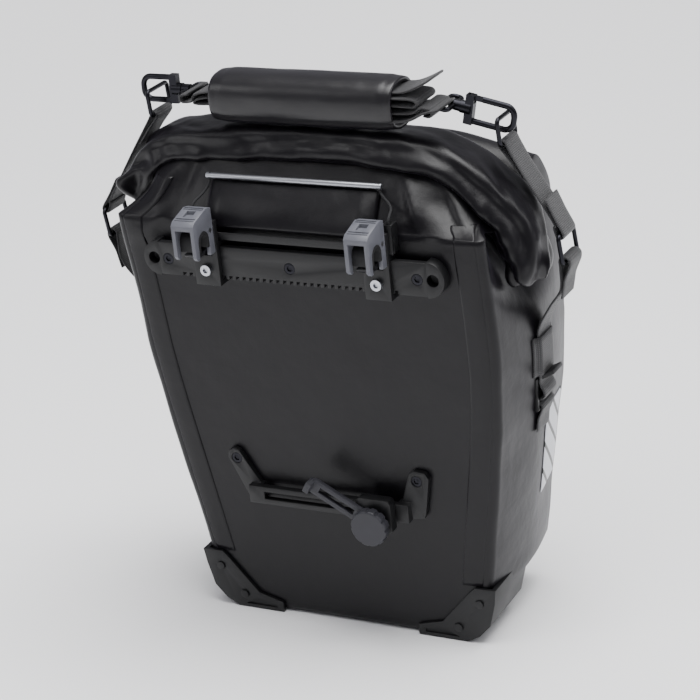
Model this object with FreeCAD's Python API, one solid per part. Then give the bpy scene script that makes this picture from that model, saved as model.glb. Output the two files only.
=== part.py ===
"""Roll-top bicycle pannier with a quick-release rack mount and a detachable shoulder strap.

Millimetres. The origin is on the ground, at the centre of the flat base. +Z is up, +Y points away
from the wheel, and +X points to the rear of the bicycle. The back of the bag, which faces the wheel,
is the plane y = back_y. Each node is one STEP file in parts/.
"""
import FreeCAD, Part
import os
from math import atan2, cos, degrees, hypot, radians, sin, tan

os.makedirs("parts", exist_ok=True)
V = FreeCAD.Vector
Y_AXIS = V(0, 1, 0)

# ---------------------------------------------------------------- driving dimensions
# fabric body
wall = 2.0                  # welded tarpaulin with its lining
base_depth = 120.0          # wheel side to outer side, at the ground
depth_growth = 24.0         # how much deeper the bag is at the mouth
bag_height = 345.0          # ground to the seam below the collar
collar_rise = 57.0          # seam to the highest fold of the collar
top_half = 159.0            # half width at the shoulder
heel_half = 117.0           # half width at the base, towards the rider's heel
tail_half = 138.0           # half width at the base, towards the rear
corner_run = 31.0           # lower corners are cut back this far
corner_rise = 40.0
waist_height = bag_height - 135.0
shoulder_height = bag_height - 83.0
gusset_tuck = 52.0          # how far the roll pulls the gussets inwards at the mouth
soft_gap = 0.5              # between a soft part and its neighbour

# rolled closure
roll_y = -7.0
roll_radius = 16.0
roll_half_width = 29.0
roll_wall = 2.0
stiffener_radius = 3.0

# upper rail and rack hooks
rail_below_mouth = 16.0     # seam to the top edge of the rail
rail_height = 27.0
rail_length = 234.0
rail_centre = -5.0
rail_head = 6.0
rail_foot = 5.0
tooth_pitch = 6.0
tooth_depth = 3.0
slide_gap = 0.3             # hook carriage on its rail
hook_left_x = -76.5
hook_right_x = 72.5
hook_width = 20.0
cheek = 3.2
tube_radius = 5.0           # rack tube that the liner takes
seat_radius = 8.0           # largest rack tube, without the liner
seat_out = 31.0             # back of the bag to the tube axis
seat_above_rail = 12.0      # top of the rail to the tube axis
hook_front = 13.5           # tube axis to the front of the hook
hook_top = 24.0             # tube axis to the top of the hook
hook_drop = 12.5            # tube axis to the lower lip
pin_radius = 2.0
running_gap = 0.05
latch_lift = 5.3            # travel of the pull handle and the release bar

# pull handle
rod_radius = 2.3
rod_length = 153.0
rod_above_mouth = 34.0
cord_radius = 1.0

# lower rail and rack-leg arm
lower_z = 113.5
lower_slot = 6.5
lower_bar = 15.5
lower_left = -58.0
lower_right = 70.0
knob_radius = 15.5
knob_height = 8.0
clamp_radius = 3.0
arm_length = 62.0
arm_width = 13.0
arm_thickness = 4.0
arm_angle = 151.0

# straps and metal fittings
webbing = 25.0
webbing_thickness = 2.0
bar_radius = 1.8
snap_wire = 2.4
pad_length = 158.0
pad_height = 41.0
pad_depth = 46.0
strap_width = 38.0

# ---------------------------------------------------------------- derived places
back_y = -base_depth / 2
mouth_z = bag_height
rail_top = mouth_z - rail_below_mouth
rail_bottom = rail_top - rail_height
seat_y = back_y - seat_out
seat_z = rail_top + seat_above_rail


# ---------------------------------------------------------------- shape helpers
def box(x0, x1, y0, y1, z0, z1):
    return Part.makeBox(x1 - x0, y1 - y0, z1 - z0, V(x0, y0, z0))


def rod(start, end, radius):
    line = V(*end) - V(*start)
    return Part.makeCylinder(radius, line.Length, V(*start), line)


def plate_y(outline, y0, y1):
    """Plate with an outline in X and Z, from y0 to y1."""
    points = [V(x, y0, z) for x, z in outline]
    return Part.Face(Part.makePolygon(points + points[:1])).extrude(V(0, y1 - y0, 0))


def bar_x(outline, x0, x1):
    """Bar with a section in Y and Z, from x0 to x1."""
    points = [V(x0, y, z) for y, z in outline]
    return Part.Face(Part.makePolygon(points + points[:1])).extrude(V(x1 - x0, 0, 0))


def loft(sections):
    """Ruled solid through closed polygons, each a list of points."""
    wires = [Part.makePolygon(points + points[:1]) for points in sections]
    return Part.makeLoft(wires, True, True)


def path(points, share=0.45):
    """Wire of straight runs joined by the largest tangent arcs that fit their runs."""
    edges = []
    start = points[0]
    for before, corner, after in zip(points, points[1:], points[2:]):
        into = (corner - before).normalize()
        out = (after - corner).normalize()
        cut = share * min((corner - before).Length, (after - corner).Length)
        first = corner - into * cut
        last = corner + out * cut
        half_turn = into.getAngle(out) / 2
        radius = cut / tan(half_turn)
        inward = (out - into).normalize()
        centre = corner + inward * (radius / cos(half_turn))
        middle = centre - inward * radius
        edges.append(Part.LineSegment(start, first).toShape())
        edges.append(Part.Arc(first, middle, last).toShape())
        start = last
    edges.append(Part.LineSegment(start, points[-1]).toShape())
    return Part.Wire(edges)


def sweep_round(points, radius):
    """Round cord or rod along a path."""
    route = path(points)
    ring = Part.Wire(Part.Circle(points[0], points[1] - points[0], radius).toShape())
    return outward(route.makePipeShell([ring], True, False))


def outward(solid):
    """The same solid with its faces pointing out."""
    return solid if solid.Volume > 0 else solid.reversed()


def stadium_sweep(points, half_width, radius):
    """Flattened tube along a path in X and Z; half_width is along Y."""
    route = path(points)
    along = (points[1] - points[0]).normalize()
    normal = along.cross(Y_AXIS)
    flat = half_width - radius
    corners = []
    for side, lift in ((-1, -1), (1, -1), (1, 1), (-1, 1)):
        corners.append(points[0] + Y_AXIS * (side * flat) + normal * (lift * radius))
    far = points[0] + Y_AXIS * half_width
    near = points[0] - Y_AXIS * half_width
    edges = [Part.LineSegment(corners[0], corners[1]).toShape(),
             Part.Arc(corners[1], far, corners[2]).toShape(),
             Part.LineSegment(corners[2], corners[3]).toShape(),
             Part.Arc(corners[3], near, corners[0]).toShape()]
    return outward(route.makePipeShell([Part.Wire(edges)], True, False))


def band(points, thickness, y0, y1):
    """Flat webbing whose middle line is a list of (x, z), from y0 to y1 in width."""
    upper = []
    lower = []
    for index, (x, z) in enumerate(points):
        before = points[max(index - 1, 0)]
        after = points[min(index + 1, len(points) - 1)]
        angle = atan2(after[1] - before[1], after[0] - before[0])
        dx = -sin(angle) * thickness / 2
        dz = cos(angle) * thickness / 2
        upper.append((x + dx, z + dz))
        lower.append((x - dx, z - dz))
    return plate_y(upper + lower[::-1], y0, y1)


def turned(shape, centre, axis, angle):
    copy = shape.copy()
    copy.rotate(V(*centre), axis, angle)
    return copy


def moved(shape, x, y, z):
    copy = shape.copy()
    copy.translate(V(x, y, z))
    return copy


nodes = {}


def add(name, *solids):
    """One node: a single solid, or a group of separate ones."""
    nodes[name] = solids[0] if len(solids) == 1 else Part.makeCompound(list(solids))


# ---------------------------------------------------------------- welded fabric body
# Height, left edge, right edge and depth of the bag at each bend of its outline.
levels = [
    (0.0, -(heel_half - corner_run), tail_half - corner_run, base_depth),
    (corner_rise, -heel_half, tail_half, base_depth + 0.25 * depth_growth),
    (waist_height, -(top_half - 9), top_half + 2, base_depth + 0.8 * depth_growth),
    (shoulder_height, -(top_half - 2), top_half + 2, base_depth + depth_growth),
    (mouth_z, -top_half, top_half - 3, base_depth + 0.8 * depth_growth),
]


def level_at(z):
    """Left edge, right edge and front plane at a height."""
    for low, high in zip(levels, levels[1:]):
        if z <= high[0]:
            break
    share = (z - low[0]) / (high[0] - low[0])
    left, right, depth = [a + (b - a) * share for a, b in zip(low[1:], high[1:])]
    return left, right, back_y + depth


def tuck_at(z):
    """How far the gusset is pulled in at its middle fold."""
    return gusset_tuck * max(0.0, (z - shoulder_height) / (mouth_z - shoulder_height))


def rectangle(x0, x1, y0, y1, z):
    return [V(x0, y0, z), V(x1, y0, z), V(x1, y1, z), V(x0, y1, z)]


def gusset_section(z, side):
    left, right, front = level_at(z)
    edge = right if side > 0 else left
    fold = edge - side * tuck_at(z)
    outer = [(edge, back_y + wall), (fold, roll_y), (edge, front - wall)]
    inner = [(x - side * wall, y) for x, y in reversed(outer)]
    return [V(x, y, z) for x, y in outer + inner]


heights = [level[0] for level in levels]
back_sections = []
front_sections = []
for z in heights:
    left, right, front = level_at(z)
    back_sections.append(rectangle(left, right, back_y, back_y + wall, z))
    front_sections.append(rectangle(left, right, front - wall, front, z))
add("back_panel", loft(back_sections))
add("front_panel", loft(front_sections))
add("gusset_left", loft([gusset_section(z, -1) for z in heights]))
add("gusset_right", loft([gusset_section(z, 1) for z in heights]))

base_sections = []
for z in (0.0, wall):
    left, right, front = level_at(z)
    base_sections.append(rectangle(left + wall, right - wall, back_y + wall, front - wall, z))
add("base_panel", loft(base_sections))

# ---------------------------------------------------------------- rolled closure and collar
roll_points = [V(x, roll_y, mouth_z + z) for x, z in (
    (-(top_half + 14), 1), (-(top_half - 13), 38), (-(top_half - 64), 52), (top_half - 99, 52),
    (top_half - 41, 39), (top_half + 1, 1), (top_half + 13, -47))]
roll_outer = stadium_sweep(roll_points, roll_half_width, roll_radius)
roll_first = roll_points[0] + (roll_points[1] - roll_points[0]).normalize() * roll_wall
roll_last = roll_points[-1] + (roll_points[-2] - roll_points[-1]).normalize() * roll_wall
core_points = [roll_first] + roll_points[1:-1] + [roll_last]
roll_core = stadium_sweep(core_points, roll_half_width - roll_wall, roll_radius - roll_wall)
add("roll_top", roll_outer.cut(roll_core))
strip_inset = 4.0
strip_first = roll_first + (roll_points[1] - roll_points[0]).normalize() * strip_inset
strip_last = roll_last + (roll_points[-2] - roll_points[-1]).normalize() * strip_inset
add("roll_stiffener", sweep_round([strip_first] + roll_points[1:-1] + [strip_last], stiffener_radius))


def collar_section(z, left, right, tuck_left, tuck_right, back, fold, front, inset):
    return [V(left + inset, back + inset, z), V(right - inset, back + inset, z),
            V(right - tuck_right - inset, fold, z), V(right - inset, front - inset, z),
            V(left + inset, front - inset, z), V(left + tuck_left + inset, fold, z)]


def collar_block(inset):
    left, right, front = level_at(mouth_z)
    low = collar_section(mouth_z, left, right, gusset_tuck, gusset_tuck, back_y, roll_y, front, inset)
    high = collar_section(mouth_z + collar_rise - inset, -(top_half - 24), top_half - 9, 16, 32,
                          back_y + 29, roll_y + 15, front - 33, inset)
    return loft([low, high])


roll_room = stadium_sweep(roll_points, roll_half_width + soft_gap, roll_radius + soft_gap)
roll_cover = stadium_sweep(roll_points, roll_half_width + soft_gap + wall, roll_radius + soft_gap + wall)
collar = collar_block(0.0).cut(roll_room)
collar = collar.cut(collar_block(wall).cut(roll_cover))
add("mouth_collar", max(collar.Solids, key=lambda solid: solid.Volume))

# ---------------------------------------------------------------- inside the bag
inside_gap = 0.3
board_thickness = 2.5
board_margin = 8.0
board_y = back_y + wall + inside_gap
board_heights = [wall + board_margin] + heights[1:-1] + [mouth_z - board_margin]
board_sections = []
for z in board_heights:
    left, right, front = level_at(z)
    inset = board_margin + tuck_at(z) * 0.3
    board_sections.append(rectangle(left + inset, right - inset, board_y, board_y + board_thickness, z))
add("back_stiffener", loft(board_sections))

left, right, front = level_at(wall + inside_gap)
base_margin = wall + 3.0
add("base_board", box(left + base_margin, right - base_margin,
                      board_y + board_thickness + inside_gap, front - base_margin,
                      wall + inside_gap, wall + inside_gap + board_thickness))

pocket_y = board_y + board_thickness + inside_gap
add("inner_pocket", box(-95, 95, pocket_y, pocket_y + 3, mouth_z - 205, mouth_z - 45))

# ---------------------------------------------------------------- upper rail
head_y = back_y - rail_foot - rail_head
rail_x0 = rail_centre - rail_length / 2
rail_x1 = rail_centre + rail_length / 2
foot_inset = 7.0
rail = box(rail_x0, rail_x1, head_y, back_y - rail_foot, rail_bottom, rail_top)
rail = rail.fuse(box(rail_x0, rail_x1, back_y - rail_foot, back_y,
                     rail_bottom + foot_inset, rail_top - foot_inset))
tooth_count = int((rail_length - 40) / tooth_pitch)
for index in range(tooth_count):
    gap_x = rail_x0 + 20 + index * tooth_pitch
    rail = rail.cut(box(gap_x, gap_x + tooth_pitch / 2, head_y - 1, back_y - rail_foot + 1,
                        rail_bottom - 1, rail_bottom + tooth_depth))
rail_screw_x = [rail_x0 + 8, rail_centre, rail_x1 - 8]
rail_screw_z = rail_bottom + rail_height / 2
screw_radius = 2.5
screw_head_radius = 4.5
screw_head = 2.5
for x in rail_screw_x:
    rail = rail.cut(rod((x, head_y - 1, rail_screw_z), (x, back_y + 1, rail_screw_z), screw_radius + 0.1))
    rail = rail.cut(rod((x, head_y - 1, rail_screw_z), (x, head_y + screw_head + 0.2, rail_screw_z),
                        screw_head_radius + 0.2))
add("mounting_rail", rail.removeSplitter())


def pan_screw(x, y, z, length, head_radius, shank_radius, head_length):
    """Screw along +Y whose head's underside is at y, with a hexagon socket."""
    screw = rod((x, y - head_length, z), (x, y, z), head_radius)
    screw = screw.fuse(rod((x, y, z), (x, y + length, z), shank_radius))
    socket = [(x + 0.55 * head_radius * cos(radians(60 * k)), z + 0.55 * head_radius * sin(radians(60 * k)))
              for k in range(6)]
    return screw.cut(plate_y(socket, y - head_length - 1, y - 0.4 * head_length)).removeSplitter()


rail_screws = []
for x in rail_screw_x:
    rail_screws.append(pan_screw(x, head_y + screw_head, rail_screw_z, rail_head + rail_foot - screw_head,
                                 screw_head_radius, screw_radius, screw_head - 0.2))
add("rail_screws", *rail_screws)

# Rounded guard at each end of the rail.
guards = []
for side, edge in ((-1, rail_x0), (1, rail_x1)):
    outer = rod((edge, head_y, rail_screw_z), (edge, back_y, rail_screw_z), rail_height / 2 + 1)
    keep = box(min(edge, edge + side * 20), max(edge, edge + side * 20), head_y - 1, back_y + 1, 0, 2 * mouth_z)
    finger_hole = rod((edge + side * 5, head_y - 1, rail_screw_z), (edge + side * 5, back_y - 3, rail_screw_z),
                      5.0)
    guards.append(outer.common(keep).cut(finger_hole))
add("rail_end_guards", *guards)

# ---------------------------------------------------------------- release bar, cords and pull handle
bar_thickness = 1.6
release_y = head_y + 1.6
release_z = rail_top + 5.4
release_height = 6.0
guide_left_x = hook_left_x - 9.5
guide_right_x = hook_right_x + 9.5
guide_half = 4.0
guide_top = release_z + release_height + 17.0
release_x0 = guide_left_x - 2
release_x1 = guide_right_x + 2
lug_top = release_z + release_height + 5.0
release_bar = box(release_x0, release_x1, release_y, release_y + bar_thickness,
                  release_z, release_z + release_height)
for x in (guide_left_x, guide_right_x):
    release_bar = release_bar.fuse(box(x - 2, x + 2, release_y, release_y + bar_thickness,
                                       release_z, lug_top))
add("release_bar", release_bar.removeSplitter())

guides = []
for x in (guide_left_x, guide_right_x):
    guide = box(x - guide_half, x + guide_half, head_y, back_y, release_z - 0.4, guide_top)
    guide = guide.cut(box(x - guide_half - 1, x + guide_half + 1, release_y - slide_gap,
                          release_y + bar_thickness + slide_gap, release_z - slide_gap - 1,
                          release_z + release_height + latch_lift + slide_gap))
    guide = guide.cut(box(x - 2 - slide_gap, x + 2 + slide_gap, release_y - slide_gap,
                          release_y + bar_thickness + slide_gap, release_z,
                          lug_top + latch_lift + slide_gap))
    guide = guide.cut(rod((x, release_y + bar_thickness / 2, lug_top),
                          (x, release_y + bar_thickness / 2, guide_top + 1), cord_radius + 0.4))
    guides.append(guide.removeSplitter())
add("cord_guides", *guides)

rod_z = mouth_z + rod_above_mouth
rod_y = back_y + 29 * rod_above_mouth / collar_rise - rod_radius - 1.2
rod_centre = (guide_left_x + guide_right_x) / 2 - 5.5
rod_x0 = rod_centre - rod_length / 2
rod_x1 = rod_centre + rod_length / 2
handle = rod((rod_x0, rod_y, rod_z), (rod_x1, rod_y, rod_z), rod_radius)
for x in (rod_x0 + 3, rod_x1 - 3):
    handle = handle.cut(rod((x, rod_y, rod_z - 5), (x, rod_y, rod_z + 5), cord_radius + 0.05))
add("handle_rod", handle)

cord_y = release_y + bar_thickness / 2
cords = []
for top_x, low_x, bow in ((rod_x0 + 3, guide_left_x, -1.5), (rod_x1 - 3, guide_right_x, 5.0)):
    cords.append(sweep_round([V(top_x, rod_y, rod_z + rod_radius), V(top_x, rod_y, rod_z - 5),
                              V(top_x * 0.45 + low_x * 0.55 + bow, rod_y * 0.7 + cord_y * 0.3, rod_z - 13),
                              V(low_x + bow * 0.4, cord_y - 0.6, guide_top + 6),
                              V(low_x, cord_y, lug_top + 11), V(low_x, cord_y, lug_top)], cord_radius))
add("pull_cords", *cords)

# Padded panel that keeps fingers off the bag below the rod.
panel_low = mouth_z + 3
panel_high = rod_z - 9
slope = 29 / collar_rise
panel_y_low = back_y + slope * (panel_low - mouth_z) - soft_gap
panel_y_high = back_y + slope * (panel_high - mouth_z) - soft_gap
panel_thick = 3.0
panel_outline = [(panel_y_low, panel_low), (panel_y_high, panel_high),
                 (panel_y_high - panel_thick, panel_high), (panel_y_low - panel_thick, panel_low)]
panel_margin = 8.0
add("handle_panel", bar_x(panel_outline, rod_x0 + panel_margin, rod_x1 - panel_margin))

# ---------------------------------------------------------------- rack hooks
pivot_y = seat_y + 11.0
pivot_z = seat_z + 5.0
plate_back = head_y - slide_gap
plate_front = plate_back - 4.4
hub_radius = 3.5
latch_half = 6.0
window_half = cheek + 3.3


def rack_hook(side_name, x):
    """Every piece of one hook: carriage, shell, liner, latch, pin, spring and clamp screw."""
    half = hook_width / 2
    # carriage: a C that wraps the head of the rail, with a plate that holds the shell
    low = rail_bottom - slide_gap
    high = rail_top + slide_gap
    carriage = box(x - half - 1, x + half + 1, plate_front, plate_back, low - 4, seat_z + 11)
    carriage = carriage.fuse(box(x - half - 1, x + half + 1, plate_front, back_y - 0.8, high, high + 4.4))
    carriage = carriage.fuse(box(x - half - 1, x + half + 1, plate_front, back_y - 0.8, low - 4, low))
    for z0, z1 in ((high - 4, high + 1), (low - 1, low + 4)):
        carriage = carriage.fuse(box(x - half - 1, x + half + 1, back_y - rail_foot + slide_gap,
                                     back_y - 0.8, z0, z1))
    carriage = carriage.cut(box(x - window_half, x + window_half, plate_front - 1, head_y + 1.6,
                                rail_top - 6, seat_z + 12))
    clamp_z = rail_bottom + 9
    carriage = carriage.cut(rod((x, plate_front - 1, clamp_z), (x, plate_back + 1, clamp_z),
                                screw_radius + running_gap))
    add("hook_carriage_" + side_name, carriage.removeSplitter())
    add("hook_screw_" + side_name, pan_screw(x, plate_front, clamp_z, plate_back - plate_front - 0.05,
                                             screw_head_radius, screw_radius, 3.0))
    # shell: a cap and two cheeks with a round-topped slot for the rack tube
    top = seat_z + hook_top
    front = seat_y - hook_front
    outline = [(plate_front, seat_z - hook_drop - 2), (plate_front, top - 1.5), (plate_front - 7, top),
               (front + 3, top - 5), (front, top - 8), (front, seat_z - hook_drop + 3),
               (front + 2.5, seat_z - hook_drop), (seat_y, seat_z - hook_drop),
               (seat_y, seat_z - hook_drop - 2)]
    shell = bar_x(outline, x - half, x + half)
    slot_radius = seat_radius + 0.1
    shell = shell.cut(rod((x - half - 1, seat_y, seat_z), (x + half + 1, seat_y, seat_z), slot_radius))
    shell = shell.cut(box(x - half - 1, x + half + 1, seat_y - slot_radius, seat_y + slot_radius,
                          seat_z - hook_drop - 3, seat_z))
    inside = half - cheek
    shell = shell.cut(box(x - inside, x + inside, front - 1, plate_front + 1, seat_z - 20, seat_z + 12))
    shell = shell.cut(rod((x - half - 1, pivot_y, pivot_z), (x + half + 1, pivot_y, pivot_z), pin_radius))
    shell = shell.cut(box(x - 4, x + 4, seat_y - 4, seat_y + 4, top - 4.2, top + 1))
    add("hook_shell_" + side_name, shell.removeSplitter())
    # liner: U-shaped insert that fits a 10 mm rack tube into the 16 mm seat
    liner = rod((x - half, seat_y, seat_z), (x + half, seat_y, seat_z), seat_radius)
    liner = liner.fuse(box(x - half, x + half, seat_y - seat_radius, seat_y + seat_radius, seat_z - 7, seat_z))
    liner = liner.common(box(x - half, x + half, seat_y - 20, seat_y + 20, seat_z - 7, seat_z + 20))
    liner = liner.cut(rod((x - half - 1, seat_y, seat_z), (x + half + 1, seat_y, seat_z), tube_radius))
    liner = liner.cut(box(x - half - 1, x + half + 1, seat_y - tube_radius, seat_y + tube_radius,
                          seat_z - 8, seat_z))
    add("hook_liner_" + side_name, liner.removeSplitter())
    # latch: hub on the pin, an arm behind the tube, a nose under it and a tail over the release bar
    hub = rod((x - 3.8, pivot_y, pivot_z), (x + 3.8, pivot_y, pivot_z), hub_radius)
    arm_front = seat_y + seat_radius + 0.5
    arm_back = pivot_y + 1.0
    nose_top = seat_z - 9.5
    arm = box(x - 3.8, x + 3.8, arm_front, arm_back, nose_top, pivot_z)
    foot = bar_x([(arm_front, pivot_z - 9), (arm_back, pivot_z - 9), (arm_back - 0.5, nose_top - 4),
                  (seat_y - 3, nose_top - 4), (seat_y - 5, nose_top - 2), (seat_y - 5, nose_top - 0.5),
                  (arm_front - 2, nose_top), (arm_front, nose_top + 2)], x - latch_half, x + latch_half)
    tail = box(x - 3.8, x + 3.8, pivot_y, release_y + bar_thickness + 0.8,
               release_z + release_height + slide_gap, pivot_z + 1)
    latch = hub.fuse([arm, foot, tail])
    latch = latch.cut(rod((x - 9, pivot_y, pivot_z), (x + 9, pivot_y, pivot_z), pin_radius + running_gap))
    add("latch_" + side_name, latch.removeSplitter())
    add("latch_pin_" + side_name, rod((x - half, pivot_y, pivot_z), (x + half, pivot_y, pivot_z), pin_radius))
    # spring: four touching turns on the pin, beside the hub, with a leg to the shell and one to the latch
    wire = 0.3
    turn_radius = pin_radius + 0.1 + wire
    spring = rod((x + 4.8, pivot_y + turn_radius, pivot_z), (x + 4.8, pivot_y + turn_radius, pivot_z - 6), wire)
    leg_x = x + 4.8 + 3 * 1.7 * wire
    far_leg = rod((leg_x, pivot_y - turn_radius, pivot_z), (leg_x, pivot_y - turn_radius, pivot_z - 6), wire)
    spring = spring.fuse(far_leg)
    for turn in range(4):
        coil = Part.makeTorus(turn_radius, wire, V(x + 4.8 + turn * 1.7 * wire, pivot_y, pivot_z), V(1, 0, 0))
        spring = spring.fuse(coil)
    add("latch_spring_" + side_name, spring.removeSplitter())


rack_hook("left", hook_left_x)
rack_hook("right", hook_right_x)

# ---------------------------------------------------------------- lower rail with its arm
bar_low = lower_z - lower_bar / 2
bar_high = lower_z + lower_bar / 2
ear_back = back_y - 5
bar_back = back_y - 6
bar_front = back_y - 12
ear_left = [(lower_left, bar_high), (lower_left - 17, bar_high + 27), (lower_left - 22, bar_high + 29),
            (lower_left - 27, bar_high + 26), (lower_left - 28, bar_high + 20),
            (lower_left - 12, bar_low + 2), (lower_left - 8, bar_low), (lower_left, bar_low)]
ear_right = [(lower_right, bar_low), (lower_right + 18, bar_low + 2), (lower_right + 20, bar_low + 6),
             (lower_right + 25, bar_high + 22), (lower_right + 22, bar_high + 27),
             (lower_right + 12, bar_high + 28), (lower_right + 8, bar_high + 25), (lower_right, bar_high)]
lower_rail = box(lower_left - 1, lower_right + 1, bar_front, bar_back, bar_low, bar_high)
lower_rail = lower_rail.fuse([plate_y(ear_left, ear_back, back_y), plate_y(ear_right, ear_back, back_y)])
for x0, x1 in ((lower_left - 8, lower_left + 3), (lower_right - 3, lower_right + 8)):
    lower_rail = lower_rail.fuse(box(x0, x1, bar_front, back_y, bar_low, bar_high))
slot_low = lower_z - lower_slot / 2
slot_high = lower_z + lower_slot / 2
lower_rail = lower_rail.cut(box(lower_left + 6, lower_right - 6, bar_front - 1, bar_back + 1,
                                slot_low, slot_high))
lower_screw_places = [(lower_left - 20, bar_high + 20), (lower_right + 14, bar_high + 19)]
for x, z in lower_screw_places:
    lower_rail = lower_rail.cut(rod((x, ear_back - 1, z), (x, back_y + 1, z), screw_radius + 0.1))
    lower_rail = lower_rail.cut(rod((x, ear_back - 1, z), (x, ear_back + 2.6, z), screw_head_radius + 0.2))
add("lower_rail", lower_rail.removeSplitter())
add("lower_screws", *[pan_screw(x, ear_back + 2.6, z, 5 - 2.6, screw_head_radius, screw_radius, 2.2)
                      for x, z in lower_screw_places])

slider_x = 52.0
neck_half = 8.0
slider_front = bar_front - slide_gap - 9
clamp_z = lower_z - 5.5
slider_half = 15.0
slider = box(slider_x - slider_half, slider_x + slider_half, slider_front, bar_front - slide_gap,
             bar_low - 7, bar_high + 7)
upright = [edge for edge in slider.Edges if abs(edge.tangentAt(edge.FirstParameter).y) > 0.9]
slider = slider.makeFillet(4.0, upright)
slider = slider.fuse(box(slider_x - neck_half, slider_x + neck_half, bar_front - 1, bar_back + 1,
                         slot_low + slide_gap, slot_high - slide_gap))
slider = slider.fuse(box(slider_x - neck_half, slider_x + neck_half, bar_back + slide_gap, back_y - 1.2,
                         bar_low + 2, bar_high - 2))
slider = slider.cut(rod((slider_x, slider_front - 1, clamp_z), (slider_x, bar_front - slide_gap + 1, clamp_z),
                        clamp_radius + running_gap))
add("slider", slider.removeSplitter())

arm_back = slider_front - slide_gap
arm_front = arm_back - arm_thickness
arm_blank = box(slider_x, slider_x + arm_length - arm_width / 2, arm_front, arm_back,
                clamp_z - arm_width / 2, clamp_z + arm_width / 2)
for reach in (0, arm_length - arm_width / 2):
    arm_blank = arm_blank.fuse(rod((slider_x + reach, arm_front, clamp_z),
                                   (slider_x + reach, arm_back, clamp_z), arm_width / 2))
arm_blank = arm_blank.fuse(box(slider_x + arm_length - 5, slider_x + arm_length, arm_front - 7, arm_back,
                               clamp_z - arm_width / 2 + 2, clamp_z + arm_width / 2 - 2))
arm_blank = arm_blank.cut(box(slider_x + 18, slider_x + arm_length - 11, arm_front - 1, arm_back + 1,
                              clamp_z - 2.5, clamp_z + 2.5))
arm_blank = arm_blank.cut(rod((slider_x, arm_front - 1, clamp_z), (slider_x, arm_back + 1, clamp_z),
                              clamp_radius + slide_gap))
add("swing_arm", turned(arm_blank.removeSplitter(), (slider_x, 0, clamp_z), Y_AXIS, -arm_angle))

knob_back = arm_front - slide_gap
knob_front = knob_back - knob_height
knob = rod((slider_x, knob_back, clamp_z), (slider_x, knob_front, clamp_z), knob_radius)
rim = [edge for edge in knob.Edges if abs(edge.CenterOfMass.y - knob_front) < 0.01]
knob = knob.makeFillet(2.0, rim)
for index in range(12):
    angle = radians(30 * index)
    groove_x = slider_x + (knob_radius + 0.9) * cos(angle)
    groove_z = clamp_z + (knob_radius + 0.9) * sin(angle)
    knob = knob.cut(rod((groove_x, knob_back + 1, groove_z), (groove_x, knob_front - 1, groove_z), 2.0))
knob = knob.cut(rod((slider_x, knob_back + 1, clamp_z), (slider_x, knob_back - 6, clamp_z), clamp_radius))
add("clamp_knob", knob)
add("clamp_screw", rod((slider_x, knob_back - 6, clamp_z), (slider_x, bar_front - slide_gap - 0.6, clamp_z),
                       clamp_radius))

# ---------------------------------------------------------------- corner bumpers
bumper_wall = 4.5
bumper_depth = 62.0
bumper_arm = 34.0
bumper_back = 3.0


def bumper(side):
    """Guard that wraps one lower corner: the chamfer, a piece of the base and of the gusset."""
    foot_run = heel_half - corner_run if side < 0 else tail_half - corner_run
    edge = heel_half if side < 0 else tail_half
    high = corner_rise + 10
    left, right, front = level_at(high)
    side_high = -left if side < 0 else right
    gap = soft_gap
    # outer line: on the ground below the chamfer, then round the corner
    outer = [(side_high + bumper_wall, high), (edge + bumper_wall, corner_rise - 2),
             (edge - 1, 17), (edge - 11, 6), (edge - 22, 0)]
    skin = [(foot_run + gap + 0.4, 0.0), (edge + gap, corner_rise - gap), (side_high + gap, high)]
    wrap = plate_y([(side * x, z) for x, z in skin + outer], back_y - bumper_back, back_y + bumper_depth)
    face_outline = [(foot_run - bumper_arm, 0.0), (foot_run - bumper_arm, 9.0), (foot_run - 12, 15.0),
                    (edge - 18, high - 6), (edge - 12, high), (side_high + 1, high)]
    face = plate_y([(side * x, z) for x, z in face_outline + outer], back_y - bumper_back, back_y - 0.2)
    whole = wrap.fuse(face)
    recess = [(foot_run - bumper_arm + 6, 3.0), (foot_run - bumper_arm + 6, 6.0), (foot_run - 10, 9.0),
              (foot_run + 2, 3.0)]
    whole = whole.cut(plate_y([(side * x, z) for x, z in recess], back_y - bumper_back - 1,
                              back_y - bumper_back + 1.5))
    return whole.removeSplitter(), (side * (edge - 9), 36.0), (side * (foot_run + 2), 12.0)


rivets = []
for name, side in (("front", -1), ("rear", 1)):
    shape, high_rivet, low_rivet = bumper(side)
    for x, z in (high_rivet, low_rivet):
        shape = shape.cut(rod((x, back_y - 4, z), (x, back_y - 0.1, z), 2.1))
        rivet = rod((x, back_y - bumper_back, z), (x, back_y, z), 2.0)
        rivets.append(rivet.fuse(rod((x, back_y - bumper_back - 1.2, z), (x, back_y - bumper_back, z), 3.6)))
    add("bumper_" + name, shape)
add("bumper_rivets", *rivets)

# ---------------------------------------------------------------- strap fittings at both ends
ring_length = 20.0
ring_lean = 1.5
hook_slack = 1.6            # the side strap's loop is this loose on the end hook
eye_gap = 0.1               # a stitched eye on its bar
lock_bar = 2.0              # radius of the ladder lock's lower bar
lock_drop = 12.5            # from the middle of the ladder lock to its lower bar


def ring(x0, z0, x1, z1, y, half_width, wire):
    """Rectangular wire ring with its long bars along Y at (x0, z0) and (x1, z1)."""
    corners = [V(x0, y - half_width, z0), V(x0, y + half_width, z0),
               V(x1, y + half_width, z1), V(x1, y - half_width, z1)]
    start = (corners[0] + corners[1]) * 0.5
    points = [start, corners[1], corners[2], corners[3], corners[0], start]
    return path_ring(points, wire)


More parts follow.
